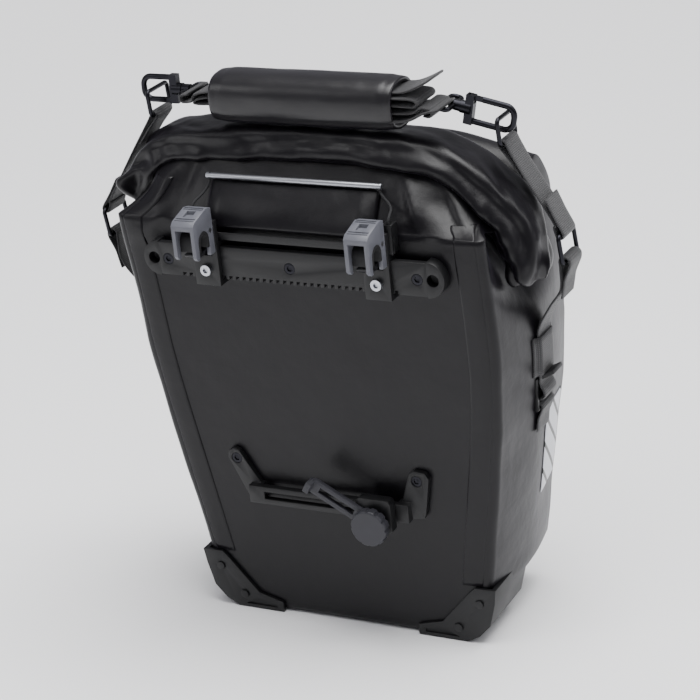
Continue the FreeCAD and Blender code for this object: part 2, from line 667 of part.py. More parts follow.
def path_ring(points, wire, bend=3.5):
    """Closed round wire through corner points, with a bend of this radius at each corner."""
    edges = []
    start = points[0]
    for before, corner, after in zip(points, points[1:], points[2:]):
        into = (corner - before).normalize()
        out = (after - corner).normalize()
        half_turn = into.getAngle(out) / 2
        cut = bend * tan(half_turn)
        first = corner - into * cut
        last = corner + out * cut
        inward = (out - into).normalize()
        centre = corner + inward * (bend / cos(half_turn))
        edges.append(Part.LineSegment(start, first).toShape())
        edges.append(Part.Arc(first, centre - inward * bend, last).toShape())
        start = last
    edges.append(Part.LineSegment(start, points[-1]).toShape())
    profile = Part.Wire(Part.Circle(points[0], points[1] - points[0], wire).toShape())
    return outward(Part.Wire(edges).makePipeShell([profile], True, False))


def eye(x, z, y0, y1, radius):
    """Loop of webbing round a bar of this radius; returns the outside and the hole."""
    outside = rod((x, y0, z), (x, y1, z), radius + eye_gap + webbing_thickness)
    hole = rod((x, y0 - 1, z), (x, y1 + 1, z), radius + eye_gap)
    return outside, hole


def strap_set(name, y, end_points, side_points, far):
    """End strap over the roll, its ring and hook, and the strap that the hook pulls on."""
    y0 = y - webbing / 2
    y1 = y + webbing / 2
    half = webbing / 2 + bar_radius + 1.0
    # end strap: from the ring at the top to the hook at the bottom
    top = end_points[0]
    low = end_points[-1]
    strap = band(end_points, webbing_thickness, y0, y1)
    for x, z in (top, low):
        outside, hole = eye(x, z, y0, y1, bar_radius)
        strap = strap.fuse(outside).cut(hole)
    # ring: its lower bar lies in the top eye
    add("d_ring_" + name, ring(*top, *far, y, half, bar_radius))
    # hook: its upper bar lies in the lower eye, its lower bar in the side strap's loop
    add("end_hook_" + name, ring(*low, *side_points[0], y, half, bar_radius))
    # side strap
    side_strap = band(side_points, webbing_thickness, y0, y1)
    x, z = side_points[0]
    loop_out = rod((x, y0, z), (x, y1, z), bar_radius + hook_slack + webbing_thickness)
    loop_in = rod((x, y0 - 1, z), (x, y1 + 1, z), bar_radius + hook_slack)
    side_strap = side_strap.fuse(loop_out).cut(loop_in)
    return strap.removeSplitter(), side_strap.removeSplitter()


keeper_z = waist_height + 20
keeper_half = 16.0
lock_z = waist_height - 12
anchor_z = lock_z - 34
end_straps = []
side_straps = []
keepers = []
ring_tops = {}
strap_y = {"left": 0.0, "right": 10.0}
for name, side in (("left", -1), ("right", 1)):
    y = strap_y[name]
    edge_keeper = level_at(keeper_z)[1 if side > 0 else 0]
    edge_lock = level_at(lock_z + 14)[1 if side > 0 else 0]
    stand = webbing_thickness / 2 + soft_gap
    out = top_half + roll_radius
    if side > 0:
        end_points = [(out - 24, mouth_z + roll_radius + 41), (out - 10, mouth_z + roll_radius + 20),
                      (out + 6, mouth_z + 10), (out + 14, mouth_z - 4), (out + 18, mouth_z - 13)]
        hook_low = (out + 20.5, mouth_z - 35)
    else:
        end_points = [(27 - out, mouth_z + roll_radius + 53), (3 - out, mouth_z + roll_radius + 22),
                      (-15 - out, mouth_z + 11), (-27 - out, mouth_z - 7), (-32 - out, mouth_z - 15)]
        hook_low = (-29 - out, mouth_z - 37)
    lock_x = edge_lock + side * (stand + webbing_thickness / 2 + 2.2)
    side_points = [hook_low, (side * (abs(hook_low[0]) - 5), mouth_z - 58),
                   (edge_keeper + side * (stand + 8), keeper_z + 38)]
    # the strap goes out through the lock's upper slot, over its middle bar and back in below it
    for z in (keeper_z + 19, keeper_z, lock_z + 14, lock_z + 7.5):
        side_points.append((level_at(z)[1 if side > 0 else 0] + side * stand, z))
    side_points += [(lock_x + side * 5.8, lock_z + 2.0), (lock_x + side * 5.8, lock_z - 3.0),
                    (lock_x - side * 4.0, lock_z - 7.4)]
    anchor_points = [(lock_x - side * 2.6, lock_z - lock_drop - 1)]
    for z in (lock_z - 24, anchor_z):
        anchor_points.append((level_at(z)[1 if side > 0 else 0] + side * stand, z))
    ring_tops[name] = (end_points[0][0] - ring_lean, end_points[0][1] + ring_length)
    end_strap, side_strap = strap_set(name, y, end_points, side_points, ring_tops[name])
    end_straps.append(end_strap)
    side_straps.append(side_strap)
    # anchor: short webbing from the gusset, stitched round the ladder lock's lower bar
    outside, hole = eye(lock_x, lock_z - lock_drop, y - webbing / 2, y + webbing / 2, lock_bar)
    anchor = band(anchor_points, webbing_thickness, y - webbing / 2, y + webbing / 2)
    side_straps.append(anchor.fuse(outside).cut(hole).removeSplitter())
    # keeper: elastic loop round the strap, welded to the gusset
    keeper_out = 2 * stand + webbing_thickness + 1.0
    outer_sections = []
    inner_sections = []
    for z in (keeper_z - keeper_half, keeper_z + keeper_half):
        edge = level_at(z)[1 if side > 0 else 0]
        outer_x = sorted((edge + side * 0.05, edge + side * keeper_out))
        inner_x = sorted((edge + side * 0.2, edge + side * (keeper_out - 1.2)))
        outer_sections.append(rectangle(*outer_x, y - webbing / 2 - 5, y + webbing / 2 + 5, z))
        inner_sections.append(rectangle(*inner_x, y - webbing / 2 - 1, y + webbing / 2 + 1, z))
    keepers.append(loft(outer_sections).cut(loft(inner_sections)))
    # ladder lock: frame that grips the strap and tilts up on its lower bar to let it run
    frame_x0 = lock_x - 1.5
    frame_x1 = lock_x + 1.5
    slot_half = webbing / 2 + 0.5
    lock_half = slot_half + 3
    lock = box(frame_x0, frame_x1, y - lock_half, y + lock_half, lock_z - lock_drop, lock_z + 13)
    for z0, z1 in ((lock_z - lock_drop - 1, lock_z - 2), (lock_z + 2, lock_z + 9)):
        lock = lock.cut(box(frame_x0 - 1, frame_x1 + 1, y - slot_half, y + slot_half, z0, z1))
    tab = [(lock_x, lock_z + 9), (lock_x, lock_z + 13), (lock_x + side * 13, lock_z + 20),
           (lock_x + side * 14, lock_z + 17)]
    lock = lock.fuse(plate_y(tab, y - 9, y + 9))
    lock = lock.fuse(rod((lock_x, y - lock_half, lock_z - lock_drop),
                         (lock_x, y + lock_half, lock_z - lock_drop), lock_bar))
    add("ladder_lock_" + name, lock.removeSplitter())
add("end_straps", *end_straps)
add("side_straps", *side_straps)
add("strap_keepers", *keepers)

# ---------------------------------------------------------------- reflective patches on the gussets
patch_high = anchor_z + 10
patch_low = patch_high - 74
patches = []
for index, side in ((0, -1), (1, 1)):
    sections = []
    for z in (patch_low, patch_high):
        levels_here = level_at(z)
        x0 = levels_here[index] + side * 0.05
        x1 = levels_here[index] + side * 0.7
        front = levels_here[2]
        sections.append(rectangle(min(x0, x1), max(x0, x1), front - 53, front - 6, z))
    patches.append(loft(sections))
add("reflective_patches", *patches)

# ---------------------------------------------------------------- shoulder strap
pad_x0 = -84.0
pad_x1 = pad_x0 + pad_length
pad_y = roll_y - 2
pad_z = mouth_z + 52 + roll_radius + soft_gap + pad_height / 2
bundle_half = 8.0


def rounded_bar(x0, x1, y, z, depth, height, radius):
    bar = box(x0, x1, y - depth / 2, y + depth / 2, z - height / 2, z + height / 2)
    long_edges = [edge for edge in bar.Edges if abs(edge.Length - (x1 - x0)) < 0.01]
    return bar.makeFillet(radius, long_edges)


pad = rounded_bar(pad_x0, pad_x1, pad_y, pad_z, pad_depth, pad_height, 17.0)
pad = pad.cut(rounded_bar(pad_x0 - 1, pad_x1 + 1, pad_y, pad_z, strap_width + 2 * soft_gap,
                          2 * bundle_half + 2 * soft_gap, 5.0))
add("shoulder_pad", pad)

strap_x0 = pad_x0 - 20
strap_x1 = pad_x1 + 24
snap_bar = 2.0
snap_slack = 6.0            # room for the ring to tilt in the loop
snap_y = {"left": -2.0, "right": 4.5}
snap_base = {"left": (strap_x0 - 5, pad_z), "right": (strap_x1 + 5, pad_z - 2)}
bundle = rounded_bar(strap_x0, strap_x1, pad_y, pad_z, strap_width, 2 * bundle_half, 4.5)
for name, inner_x in (("left", strap_x0 + 2), ("right", strap_x1 - 2)):
    base_x, base_z = snap_base[name]
    y0 = snap_y[name] - webbing / 2
    y1 = snap_y[name] + webbing / 2
    outside, hole = eye(base_x, base_z, y0, y1, snap_bar)
    link = box(min(base_x, inner_x), max(base_x, inner_x), y0, y1, base_z + snap_bar, base_z + snap_bar + 2)
    bundle = bundle.fuse([outside, link]).cut(hole)
flap_low = pad_z + bundle_half + soft_gap
flap = box(pad_x1 + 4, strap_x1 + 4, pad_y - 15, pad_y + 15, flap_low, flap_low + webbing_thickness)
add("shoulder_strap", bundle.removeSplitter(), flap)


def snap_hook(name):
    """Swivel snap hook, from its bar in the shoulder strap to the end of its loop in the D-ring."""
    base_x, base_z = snap_base[name]
    far_x, far_z = ring_tops[name]
    length = hypot(far_x - base_x, far_z - base_z) + snap_wire + bar_radius + snap_slack
    angle = degrees(atan2(far_z - base_z, far_x - base_x))
    half = 9.5
    near = 22.0
    # drawn along +X from the origin, in the X-Z plane, then turned and moved
    barrel = rod((7.2, 0, 0), (14, 0, 0), 4.4)
    bore = rod((6, 0, 0), (15, 0, 0), 2.2 + running_gap)
    swivel = ring(0, 0, 9, 0, 0, webbing / 2 + 3, snap_bar).fuse(barrel).cut(bore)
    loop = [V(near, 0, -half), V(length, 0, -half), V(length, 0, half), V(near + 9, 0, half)]
    body = path_ring(loop, snap_wire, 7.5)
    body = body.fuse([rod((4.6, 0, 0), (6.2, 0, 0), 3.2), rod((6.2, 0, 0), (15.5, 0, 0), 2.2),
                      rod((14.3, 0, 0), (near + 1, 0, 0), 5.0),
                      box(near - 3.8, near + 3, -3.2, 3.2, -half - 2.6, half + 2.0)])
    body = body.cut(box(near + 3.3, near + 9.4, -5, 5, half - 4, half + 4))
    body = body.cut(box(near - 2.6, near + 4, -2.0, 2.0, half - 4.4, half + 5))
    body = body.fuse(rod((near, -3.2, half), (near, 3.2, half), 1.0))
    gate = box(near - 1.4, near + 9.0, -1.6, 1.6, half - 1.8, half + 1.8)
    gate = gate.cut(rod((near, -5, half), (near, 5, half), 1.0 + running_gap))
    for part_name, shape in (("snap_eye_", swivel), ("snap_hook_", body), ("snap_gate_", gate)):
        shape = turned(shape.removeSplitter(), (0, 0, 0), Y_AXIS, -angle)
        add(part_name + name, moved(shape, base_x, snap_y[name], base_z))


snap_hook("left")
snap_hook("right")

# ---------------------------------------------------------------- write the nodes
for name, shape in nodes.items():
    shape.exportStep("parts/" + name + ".step")
    print(name, len(shape.Solids), round(shape.Volume / 1000, 2), "cm3", "" if shape.isValid() else "INVALID")
print(len(nodes), "nodes")
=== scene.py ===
"""Roll-top bicycle pannier: its visible pieces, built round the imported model."""
import bmesh
import bpy
from math import atan2, cos, exp, pi, radians, sin
from mathutils import Matrix, Vector, noise
from mathutils.bvhtree import BVHTree


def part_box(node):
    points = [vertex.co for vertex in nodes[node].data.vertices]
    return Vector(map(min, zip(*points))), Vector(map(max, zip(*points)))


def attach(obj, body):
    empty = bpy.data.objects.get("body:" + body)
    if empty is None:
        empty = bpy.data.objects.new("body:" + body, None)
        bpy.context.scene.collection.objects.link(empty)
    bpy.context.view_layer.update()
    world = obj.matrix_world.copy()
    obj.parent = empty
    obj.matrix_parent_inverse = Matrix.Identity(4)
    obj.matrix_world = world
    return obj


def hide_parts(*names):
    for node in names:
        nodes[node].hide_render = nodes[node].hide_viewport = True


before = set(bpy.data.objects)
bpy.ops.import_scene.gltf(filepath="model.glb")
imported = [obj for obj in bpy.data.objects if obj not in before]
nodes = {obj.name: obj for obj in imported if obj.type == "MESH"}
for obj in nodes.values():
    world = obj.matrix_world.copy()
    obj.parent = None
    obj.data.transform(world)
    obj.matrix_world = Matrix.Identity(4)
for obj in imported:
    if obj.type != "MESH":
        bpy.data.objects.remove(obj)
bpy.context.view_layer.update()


# ---------------------------------------------------------------- floor, light and camera
# A pale studio sweep, one broad soft light above, a fill beside the camera and white surroundings.
# The camera looks down at the wheel side of the bag from behind the bicycle.
def linear(hex_colour):
    """Linear RGBA of an sRGB hex value."""
    channels = [int(hex_colour[start:start + 2], 16) / 255 for start in (0, 2, 4)]
    return [c / 12.92 if c <= 0.04045 else ((c + 0.055) / 1.055) ** 2.4 for c in channels] + [1.0]


def set_inputs(material, node, inputs):
    """Set inputs of a shader node; each is a value or another node's output."""
    for socket, value in inputs.items():
        if isinstance(value, bpy.types.NodeSocket):
            material.node_tree.links.new(value, node.inputs[socket])
        else:
            node.inputs[socket].default_value = value


def add_node(material, kind, inputs=None, **settings):
    """Add a shader node with its settings and inputs."""
    made = material.node_tree.nodes.new(kind)
    for name, value in settings.items():
        setattr(made, name, value)
    set_inputs(material, made, inputs or {})
    return made


def new_material(name):
    """Empty node material with its surface shader and output joined."""
    material = bpy.data.materials.new(name)
    material.use_nodes = True
    return material, material.node_tree.nodes["Principled BSDF"]


floor_paint, floor_shader = new_material("matt_studio_floor")
set_inputs(floor_paint, floor_shader, {"Base Color": linear("f4f4f5"), "Roughness": 0.9})
bpy.ops.mesh.primitive_plane_add(size=60, location=(0, 0, -0.0005))
floor = bpy.context.object
floor.name = "floor"
floor.data.materials.append(floor_paint)

world = bpy.data.worlds.new("white_surroundings")
world.use_nodes = True
world.node_tree.nodes["Background"].inputs["Color"].default_value = linear("f1f1fa")
world.node_tree.nodes["Background"].inputs["Strength"].default_value = 0.34
bpy.context.scene.world = world


def soft_light(name, place, target, size, power):
    """Square area light that faces a point."""
    lamp = bpy.data.lights.new(name, "AREA")
    lamp.size = size
    lamp.energy = power
    holder = bpy.data.objects.new(name, lamp)
    holder.location = place
    holder.rotation_euler = (Vector(target) - Vector(place)).to_track_quat("-Z", "Y").to_euler()
    bpy.context.scene.collection.objects.link(holder)


sun = bpy.data.lights.new("overhead_sky", "SUN")
sun.angle = radians(50)
sun.energy = 4.4
overhead = bpy.data.objects.new("overhead_sky", sun)
overhead.rotation_euler = (radians(-12), radians(10), 0)
bpy.context.scene.collection.objects.link(overhead)
soft_light("top_light", (0.1, -0.35, 1.7), (0, 0, 0.3), 1.0, 14)
soft_light("rear_light", (1.5, 0.5, 1.3), (0, 0, 0.25), 0.7, 7)
soft_light("wheel_side_fill", (-1.2, -1.0, 1.3), (0, 0, 0.25), 0.7, 5)

eye = Vector((0.8272, -1.5167, 0.9387))
aim = Vector((0.002, 0.0, 0.218))
camera_roll = radians(-5.99)
camera_data = bpy.data.cameras.new("camera")
camera_data.lens = 118.3
camera = bpy.data.objects.new("camera", camera_data)
back = (eye - aim).normalized()
turn = Matrix.Rotation(atan2(back.x, -back.y), 4, "Z")
tilt = Matrix.Rotation(pi / 2 - atan2(back.z, Vector((back.x, back.y)).length), 4, "X")
camera.matrix_world = Matrix.Translation(eye) @ turn @ tilt @ Matrix.Rotation(camera_roll, 4, "Z")
bpy.context.scene.collection.objects.link(camera)
bpy.context.scene.camera = camera


# ---------------------------------------------------------------- tarpaulin body
# One welded sheet of coated polyester makes the back, gussets, front, base and collar. A stiff board
# keeps the back flat; the front bellies out, and the gussets fold in below the roll.
def select_only(piece):
    bpy.ops.object.select_all(action="DESELECT")
    piece.select_set(True)
    bpy.context.view_layer.objects.active = piece


def piece_from(name, vertices, faces, material, body, replaced=(), uvs=None):
    """New mesh piece that rides on a body and stands for CAD nodes."""
    mesh = bpy.data.meshes.new(name)
    mesh.from_pydata(vertices, [], faces)
    mesh.materials.append(material)
    if uvs:
        layer = mesh.uv_layers.new(name="along")
        for loop in mesh.loops:
            layer.data[loop.index].uv = uvs[loop.vertex_index]
    piece = bpy.data.objects.new(name, mesh)
    bpy.context.scene.collection.objects.link(piece)
    select_only(piece)
    bpy.ops.object.mode_set(mode="EDIT")
    bpy.ops.mesh.select_all(action="SELECT")
    bpy.ops.mesh.normals_make_consistent(inside=False)
    bpy.ops.object.mode_set(mode="OBJECT")
    bpy.ops.object.shade_smooth()
    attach(piece, body)
    if replaced:
        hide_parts(*replaced)
    return piece


def grid_faces(rows, columns):
    """Faces of a sheet whose points go row by row."""
    faces = []
    for row in range(rows):
        for column in range(columns):
            corner = row * (columns + 1) + column
            faces.append((corner, corner + 1, corner + columns + 2, corner + columns + 1))
    return faces


def tube_faces(spans, around):
    """Faces between closed rings of points, with one ring more than the number of spans."""
    faces = []
    for ring in range(spans):
        for index in range(around):
            following = (index + 1) % around
            faces.append((ring * around + index, ring * around + following,
                          (ring + 1) * around + following, (ring + 1) * around + index))
    return faces


def finish_modifier(piece, kind, **settings):
    """Add a modifier with its settings and apply it."""
    select_only(piece)
    modifier = piece.modifiers.new(kind.lower(), kind)
    for name, value in settings.items():
        setattr(modifier, name, value)
    bpy.ops.object.modifier_apply(modifier=modifier.name)


def mix(a, b, share):
    return a + (b - a) * share


def ease(value):
    """Smooth step from 0 to 1."""
    value = min(max(value, 0.0), 1.0)
    return value * value * (3 - 2 * value)


# TPU-coated polyester: satin, near-black, with a faint cool sheen and a fine embossed grain.
def tarpaulin(name, dark, light, roughness, relief):
    material, shader = new_material(name)
    place = add_node(material, "ShaderNodeTexCoord").outputs["Object"]
    patches = add_node(material, "ShaderNodeTexNoise", {"Vector": place, "Scale": 14.0, "Detail": 5.0})
    tone = add_node(material, "ShaderNodeMix", {"A": linear(dark), "B": linear(light),
                                                "Factor": patches.outputs["Fac"]}, data_type="RGBA")
    rub = add_node(material, "ShaderNodeMapRange", {"Value": patches.outputs["Fac"], "To Min": roughness - 0.07,
                                                    "To Max": roughness + 0.09})
    # embossed grain, 0.9 mm apart, over soft dents 25 mm wide
    grain = add_node(material, "ShaderNodeTexVoronoi", {"Vector": place, "Scale": 1100.0})
    dents = add_node(material, "ShaderNodeTexNoise", {"Vector": place, "Scale": 38.0, "Detail": 3.0})
    dented = add_node(material, "ShaderNodeBump",
                      {"Height": dents.outputs["Fac"], "Strength": relief, "Distance": 0.0022})
    fine = add_node(material, "ShaderNodeBump", {"Height": grain.outputs["Distance"], "Strength": 0.22,
                                                 "Distance": 0.0002, "Normal": dented.outputs["Normal"]})
    set_inputs(material, shader, {
        "Base Color": tone.outputs["Result"], "Roughness": rub.outputs["Result"],
        "Normal": fine.outputs["Normal"], "Specular IOR Level": 0.28, "Sheen Weight": 0.04,
        "Sheen Roughness": 0.4, "Sheen Tint": linear("b9b2c8")})
    return material


coated_fabric = tarpaulin("coated_polyester", "060508", "0c0a0e", 0.36, 0.4)


# height, left edge, right edge and depth of the bag, from its base to its mouth
levels = [(0.0, -0.086, 0.107, 0.120), (0.040, -0.117, 0.138, 0.126), (0.210, -0.150, 0.161, 0.1392),
          (0.262, -0.157, 0.161, 0.144), (0.345, -0.159, 0.156, 0.1392)]
back_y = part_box("back_panel")[0].y
mouth_z = levels[-1][0]
# the outline bends over this height at each level, and its left shoulder flares out at the mouth
bend_reach = 0.024
flare = 0.007
flare_spread = 0.045


def outline_at(z):
    """Left edge, right edge and front plane of the bag at a height."""
    reach = bend_reach * ease((z - 0.05) / 0.04) * ease((mouth_z - z) / 0.05)
    edges = []
    for height in (z - reach, z, z + reach):
        for low, high in zip(levels, levels[1:]):
            if height <= high[0]:
                break
        share = (height - low[0]) / (high[0] - low[0])
        edges.append([mix(low[part], high[part], share) for part in (1, 2, 3)])
    left, right, depth = [sum(parts) / 3 for parts in zip(*edges)]
    left -= flare * exp(-((z - mouth_z) / flare_spread) ** 2)
    return left, right, back_y + depth


roll_low, roll_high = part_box("roll_top")
roll_y = (roll_low.y + roll_high.y) / 2
roll_half = (roll_high.y - roll_low.y) / 2
roll_radius = 0.016
roll_route = [Vector((x, z)) for x, z in (
    (-0.173, 0.346), (-0.146, 0.383), (-0.095, 0.397), (0.060, 0.397), (0.118, 0.384), (0.160, 0.346),
    (0.172, 0.298))]


def smooth_line(points, per_span):
    """Points of an open curve through a list of points, Catmull-Rom."""
    line = []
    count = len(points)
    for index in range(count - 1):
        p1, p2 = points[index], points[index + 1]
        p0 = points[index - 1] if index else p1 * 2 - p2
        p3 = points[index + 2] if index + 2 < count else p2 * 2 - p1
        for step in range(per_span):
            t = step / per_span
            line.append(0.5 * (p1 * 2 + (p2 - p0) * t + (p0 * 2 - p1 * 5 + p2 * 4 - p3) * t * t
                               + (p1 * 3 - p0 - p2 * 3 + p3) * t * t * t))
    line.append(points[-1].copy())
    return line


def even_line(points, count):
    """The same line with a number of points an equal length apart."""
    lengths = [0.0]
    for a, b in zip(points, points[1:]):
        lengths.append(lengths[-1] + (b - a).length)
    line = []
    index = 0
    for step in range(count):
        want = lengths[-1] * step / (count - 1)
        while index < len(lengths) - 2 and lengths[index + 1] < want:
            index += 1
        span = lengths[index + 1] - lengths[index]
        line.append(points[index].lerp(points[index + 1], (want - lengths[index]) / span))
    return line


roll_steps = 181
roll_line = even_line(smooth_line(roll_route, 12), roll_steps)


def roll_at(share):
    """Place and outward normal on the roll's middle line, as X and Z."""
    at = min(max(share, 0.0), 1.0) * (roll_steps - 1)
    index = min(int(at), roll_steps - 2)
    place = roll_line[index].lerp(roll_line[index + 1], at - index)
    low = roll_line[max(index - 6, 0)]
    high = roll_line[min(index + 7, roll_steps - 1)]
    along = (high - low).normalized()
    return place, Vector((-along.y, along.x))


corner_radius = 0.006
back_steps = 72
gusset_steps = 40
corner_steps = 6
side_belly = 0.007
front_belly = 0.009
fold_start = 0.268
tuck_depth = 0.046
fold_from_back = 0.42       # where the fold of a gusset lies, as shares of its depth
fold_from_front = 0.58
corner_share_left = 0.13    # where the body's corners meet the roll, as shares of its length
corner_share_right = 0.84


def side_list():
    """Ring of the bag as (side, share along it), clockwise from the back's left end."""
    ring = [("back", i / back_steps) for i in range(back_steps + 1)]
    ring += [("corner_br", i / corner_steps) for i in range(1, corner_steps)]
    ring += [("right", i / gusset_steps) for i in range(gusset_steps + 1)]
    ring += [("corner_fr", i / corner_steps) for i in range(1, corner_steps)]
    ring += [("front", i / back_steps) for i in range(back_steps + 1)]
    ring += [("corner_fl", i / corner_steps) for i in range(1, corner_steps)]
    ring += [("left", i / gusset_steps) for i in range(gusset_steps + 1)]
    ring += [("corner_bl", i / corner_steps) for i in range(1, corner_steps)]
    return ring


ring_sides = side_list()


def body_point(side, share, z):
    """Point of the body below the mouth."""
    left, right, front = outline_at(z)
    r = corner_radius
    middle = sin(pi * share)
    rise = ease(z / 0.05) * ease((mouth_z + 0.03 - z) / 0.1)
    if side == "back":
        return Vector((mix(left + r, right - r, share), back_y, z))
    if side == "front":
        belly = front_belly * middle ** 0.7 * sin(pi * min(z / mouth_z, 1.0)) ** 0.6
        return Vector((mix(right - r, left + r, share), front + belly, z))
    if side in ("right", "left"):
        sign = 1 if side == "right" else -1
        edge = right if side == "right" else left
        from_back = share if side == "right" else 1 - share
        y = mix(back_y + r, front - r, from_back)
        tuck = tuck_depth * max(0.0, (z - fold_start) / (mouth_z - fold_start)) ** 1.5
        fold = max(0.0, 1 - abs(from_back - fold_from_back) / fold_from_back) ** 1.2
        belly = side_belly * sin(pi * from_back) * rise * (1 - ease((z - fold_start) / 0.05))
        return Vector((edge + sign * (belly - tuck * fold), y, z))
    centre_x = right - r if side in ("corner_br", "corner_fr") else left + r
    centre_y = back_y + r if side in ("corner_br", "corner_bl") else front - r
    start = {"corner_br": -90, "corner_fr": 0, "corner_fl": 90, "corner_bl": 180}[side]
    angle = radians(start + 90 * share)
    return Vector((centre_x + r * cos(angle), centre_y + r * sin(angle), z))


def collar_ends(side, share):
    """Where a ring point meets the roll, and the point that the sheet bends towards on its way."""
    right_side = side in ("right", "corner_br", "corner_fr")
    corner_share = corner_share_right if right_side else corner_share_left
    if side in ("back", "front"):
        from_back, to_tip = float(side == "front"), 0.0
        along = share if side == "back" else 1 - share
        place, normal = roll_at(mix(corner_share_left, corner_share_right, along))
    else:
        tip_share = 0.985 if right_side else 0.015
        from_back = {"right": share, "left": 1 - share, "corner_br": 0.0, "corner_bl": 0.0,
                     "corner_fr": 1.0, "corner_fl": 1.0}[side]
        fold_room = fold_from_back if from_back < fold_from_back else fold_from_front
        to_tip = max(0.0, 1 - abs(from_back - fold_from_back) / fold_room)
        place, normal = roll_at(mix(corner_share, tip_share, to_tip))
    end = place + normal * mix(mix(-0.008, 0.004, from_back), -0.006, to_tip)
    y = mix(roll_y - roll_half + 0.006, roll_y + roll_half - 0.004, from_back)
    # the back goes up flat and turns in under the roll; the front comes up full and folds back over
    back_bend = Vector((end.x * 1.01, back_y + 0.012, mix(mouth_z, end.y, 0.5)))
    front_bend = Vector((end.x * 1.03, 0.052, mix(end.y, 0.412, 0.8)))
    bend = back_bend.lerp(front_bend, from_back)
    bend.z = mix(bend.z, mouth_z - 0.012, to_tip ** 0.7)
    bend.x = mix(bend.x, end.x * 0.82, to_tip)
    return Vector((end.x, y, end.y)), bend


# Creases of the collar, pressed in where the roll pulls the corners down: start and end as X and Z,
# half width and height in metres.
creases = [
    ((0.080, 0.394), (0.104, 0.350), 0.0055, 0.0058),
    ((0.096, 0.398), (0.128, 0.350), 0.0042, -0.0036),
    ((0.112, 0.394), (0.138, 0.362), 0.0040, 0.0052),
    ((0.104, 0.372), (0.146, 0.338), 0.0046, -0.0040),
    ((0.130, 0.384), (0.156, 0.350), 0.0040, -0.0040),
    ((0.092, 0.352), (0.116, 0.314), 0.0065, -0.0026),
    ((0.108, 0.348), (0.140, 0.310), 0.0060, 0.0036),
    ((0.124, 0.330), (0.152, 0.300), 0.0050, -0.0024),
    ((-0.108, 0.398), (-0.136, 0.352), 0.0050, 0.0048),
    ((-0.096, 0.400), (-0.108, 0.360), 0.0045, -0.0030),
    ((-0.126, 0.372), (-0.158, 0.346), 0.0048, -0.0038),
    ((-0.118, 0.356), (-0.150, 0.322), 0.0055, 0.0030),
]


def crease_height(x, z):
    """Height of all creases at a point of the back, as X and Z."""
    height = 0.0
    for (x0, z0), (x1, z1), width, size in creases:
        dx, dz = x1 - x0, z1 - z0
        share = ((x - x0) * dx + (z - z0) * dz) / (dx * dx + dz * dz)
        away = ((x - x0) * dz - (z - z0) * dx) / (dx * dx + dz * dz) ** 0.5
        height += size * exp(-(away / width) ** 2) * exp(-((share - 0.5) / 0.42) ** 4)
    return height


base_radius = 0.006
wall_rows = 76
row_heights = [0.0, 0.0006, 0.0016, 0.0032, base_radius]
row_heights += [base_radius + (mouth_z - base_radius) * row / wall_rows for row in range(1, wall_rows + 1)]
body_rows = len(row_heights) - 1
collar_rows = 26
side_ripple = 0.0015
collar_ripple = 0.0016
shell_vertices = []
for z in row_heights:
    left, right, front = outline_at(z)
    middle = Vector(((left + right) / 2, (back_y + front) / 2, z))
    inset = base_radius * (1 - (1 - max(0.0, 1 - z / base_radius) ** 2) ** 0.5)
    for side, share in ring_sides:
        point = body_point(side, share, z)
        from_middle = point - middle
        point = middle + Vector((from_middle.x * (1 - inset / (right - middle.x)),
                                 from_middle.y * (1 - inset / (front - middle.y)), 0))
        if side == "back":
            point.y -= max(crease_height(point.x, z), 0.0) * ease((abs(point.x) - 0.118) / 0.01)
        elif side != "front":
            point.x += side_ripple * noise.noise(point * 22) * ease(z / 0.1)
        shell_vertices.append(point)
for row in range(1, collar_rows + 1):
    t = row / collar_rows
    for side, share in ring_sides:
        start = body_point(side, share, mouth_z)
        end, bend = collar_ends(side, share)
        point = start * (1 - t) ** 2 + bend * (2 * t * (1 - t)) + end * t * t
        if side in ("back", "corner_br", "corner_bl"):
            fade = 1 - t ** 6
            point.y -= crease_height(point.x, point.z) * fade
        point += Vector(noise.noise_vector(point * 30)) * collar_ripple * sin(pi * t)
        shell_vertices.append(point)
ring_count = len(ring_sides)
shell_faces = tube_faces(body_rows + collar_rows, ring_count)
shell_faces.append(list(range(ring_count))[::-1])
shell_faces.append([(body_rows + collar_rows) * ring_count + index for index in range(ring_count)])
bag_body = piece_from("tarpaulin_body", shell_vertices, shell_faces, coated_fabric, "bag",
                      ("back_panel", "front_panel", "gusset_left", "gusset_right", "base_panel",
                       "mouth_collar", "back_stiffener", "base_board", "inner_pocket"))

# ---------------------------------------------------------------- welded seams
# Overlaps of the sheet beside both edges of the back: strips 18 mm wide and about 0.5 mm thick, sunk
# at their outer side, so that their inner side shows as a fine step.
shell_tree = BVHTree.FromPolygons(shell_vertices, shell_faces[:-2])
outside = 0.3    # well clear of the bag, where rays towards it start


def on_shell(x, z, away):
    """Point in front of the body's back at X and Z, a distance off it."""
    hit = shell_tree.ray_cast(Vector((x, -outside, z)), Vector((0, 1, 0)))
    return hit[0] + Vector((0, -away, 0))


seam_width = 0.018
seam_inset = 0.001
first_row = 14
last_row = body_rows + collar_rows - 5
seam_rows = last_row - first_row
seam_columns = (0.0, 0.02, 0.10, 0.5, 0.9, 1.0)
seam_lift = (-0.0004, 0.0005, 0.00055, 0.0004, 0.0003, -0.0004)
for side, ring_index, sign in (("left", 0, 1), ("right", back_steps, -1)):
    vertices = []
    for row in range(first_row, last_row + 1):
        corner = shell_vertices[row * ring_count + ring_index]
        for column, lift in zip(seam_columns, seam_lift):
            x = corner.x + sign * (seam_inset + seam_width * (1 - column))
            vertices.append(on_shell(x, corner.z, lift))
    faces = grid_faces(seam_rows, len(seam_columns) - 1)
    seam = piece_from("welded_seam_" + side, vertices, faces, coated_fabric, "bag")
    finish_modifier(seam, "SOLIDIFY", thickness=0.0006, offset=0)

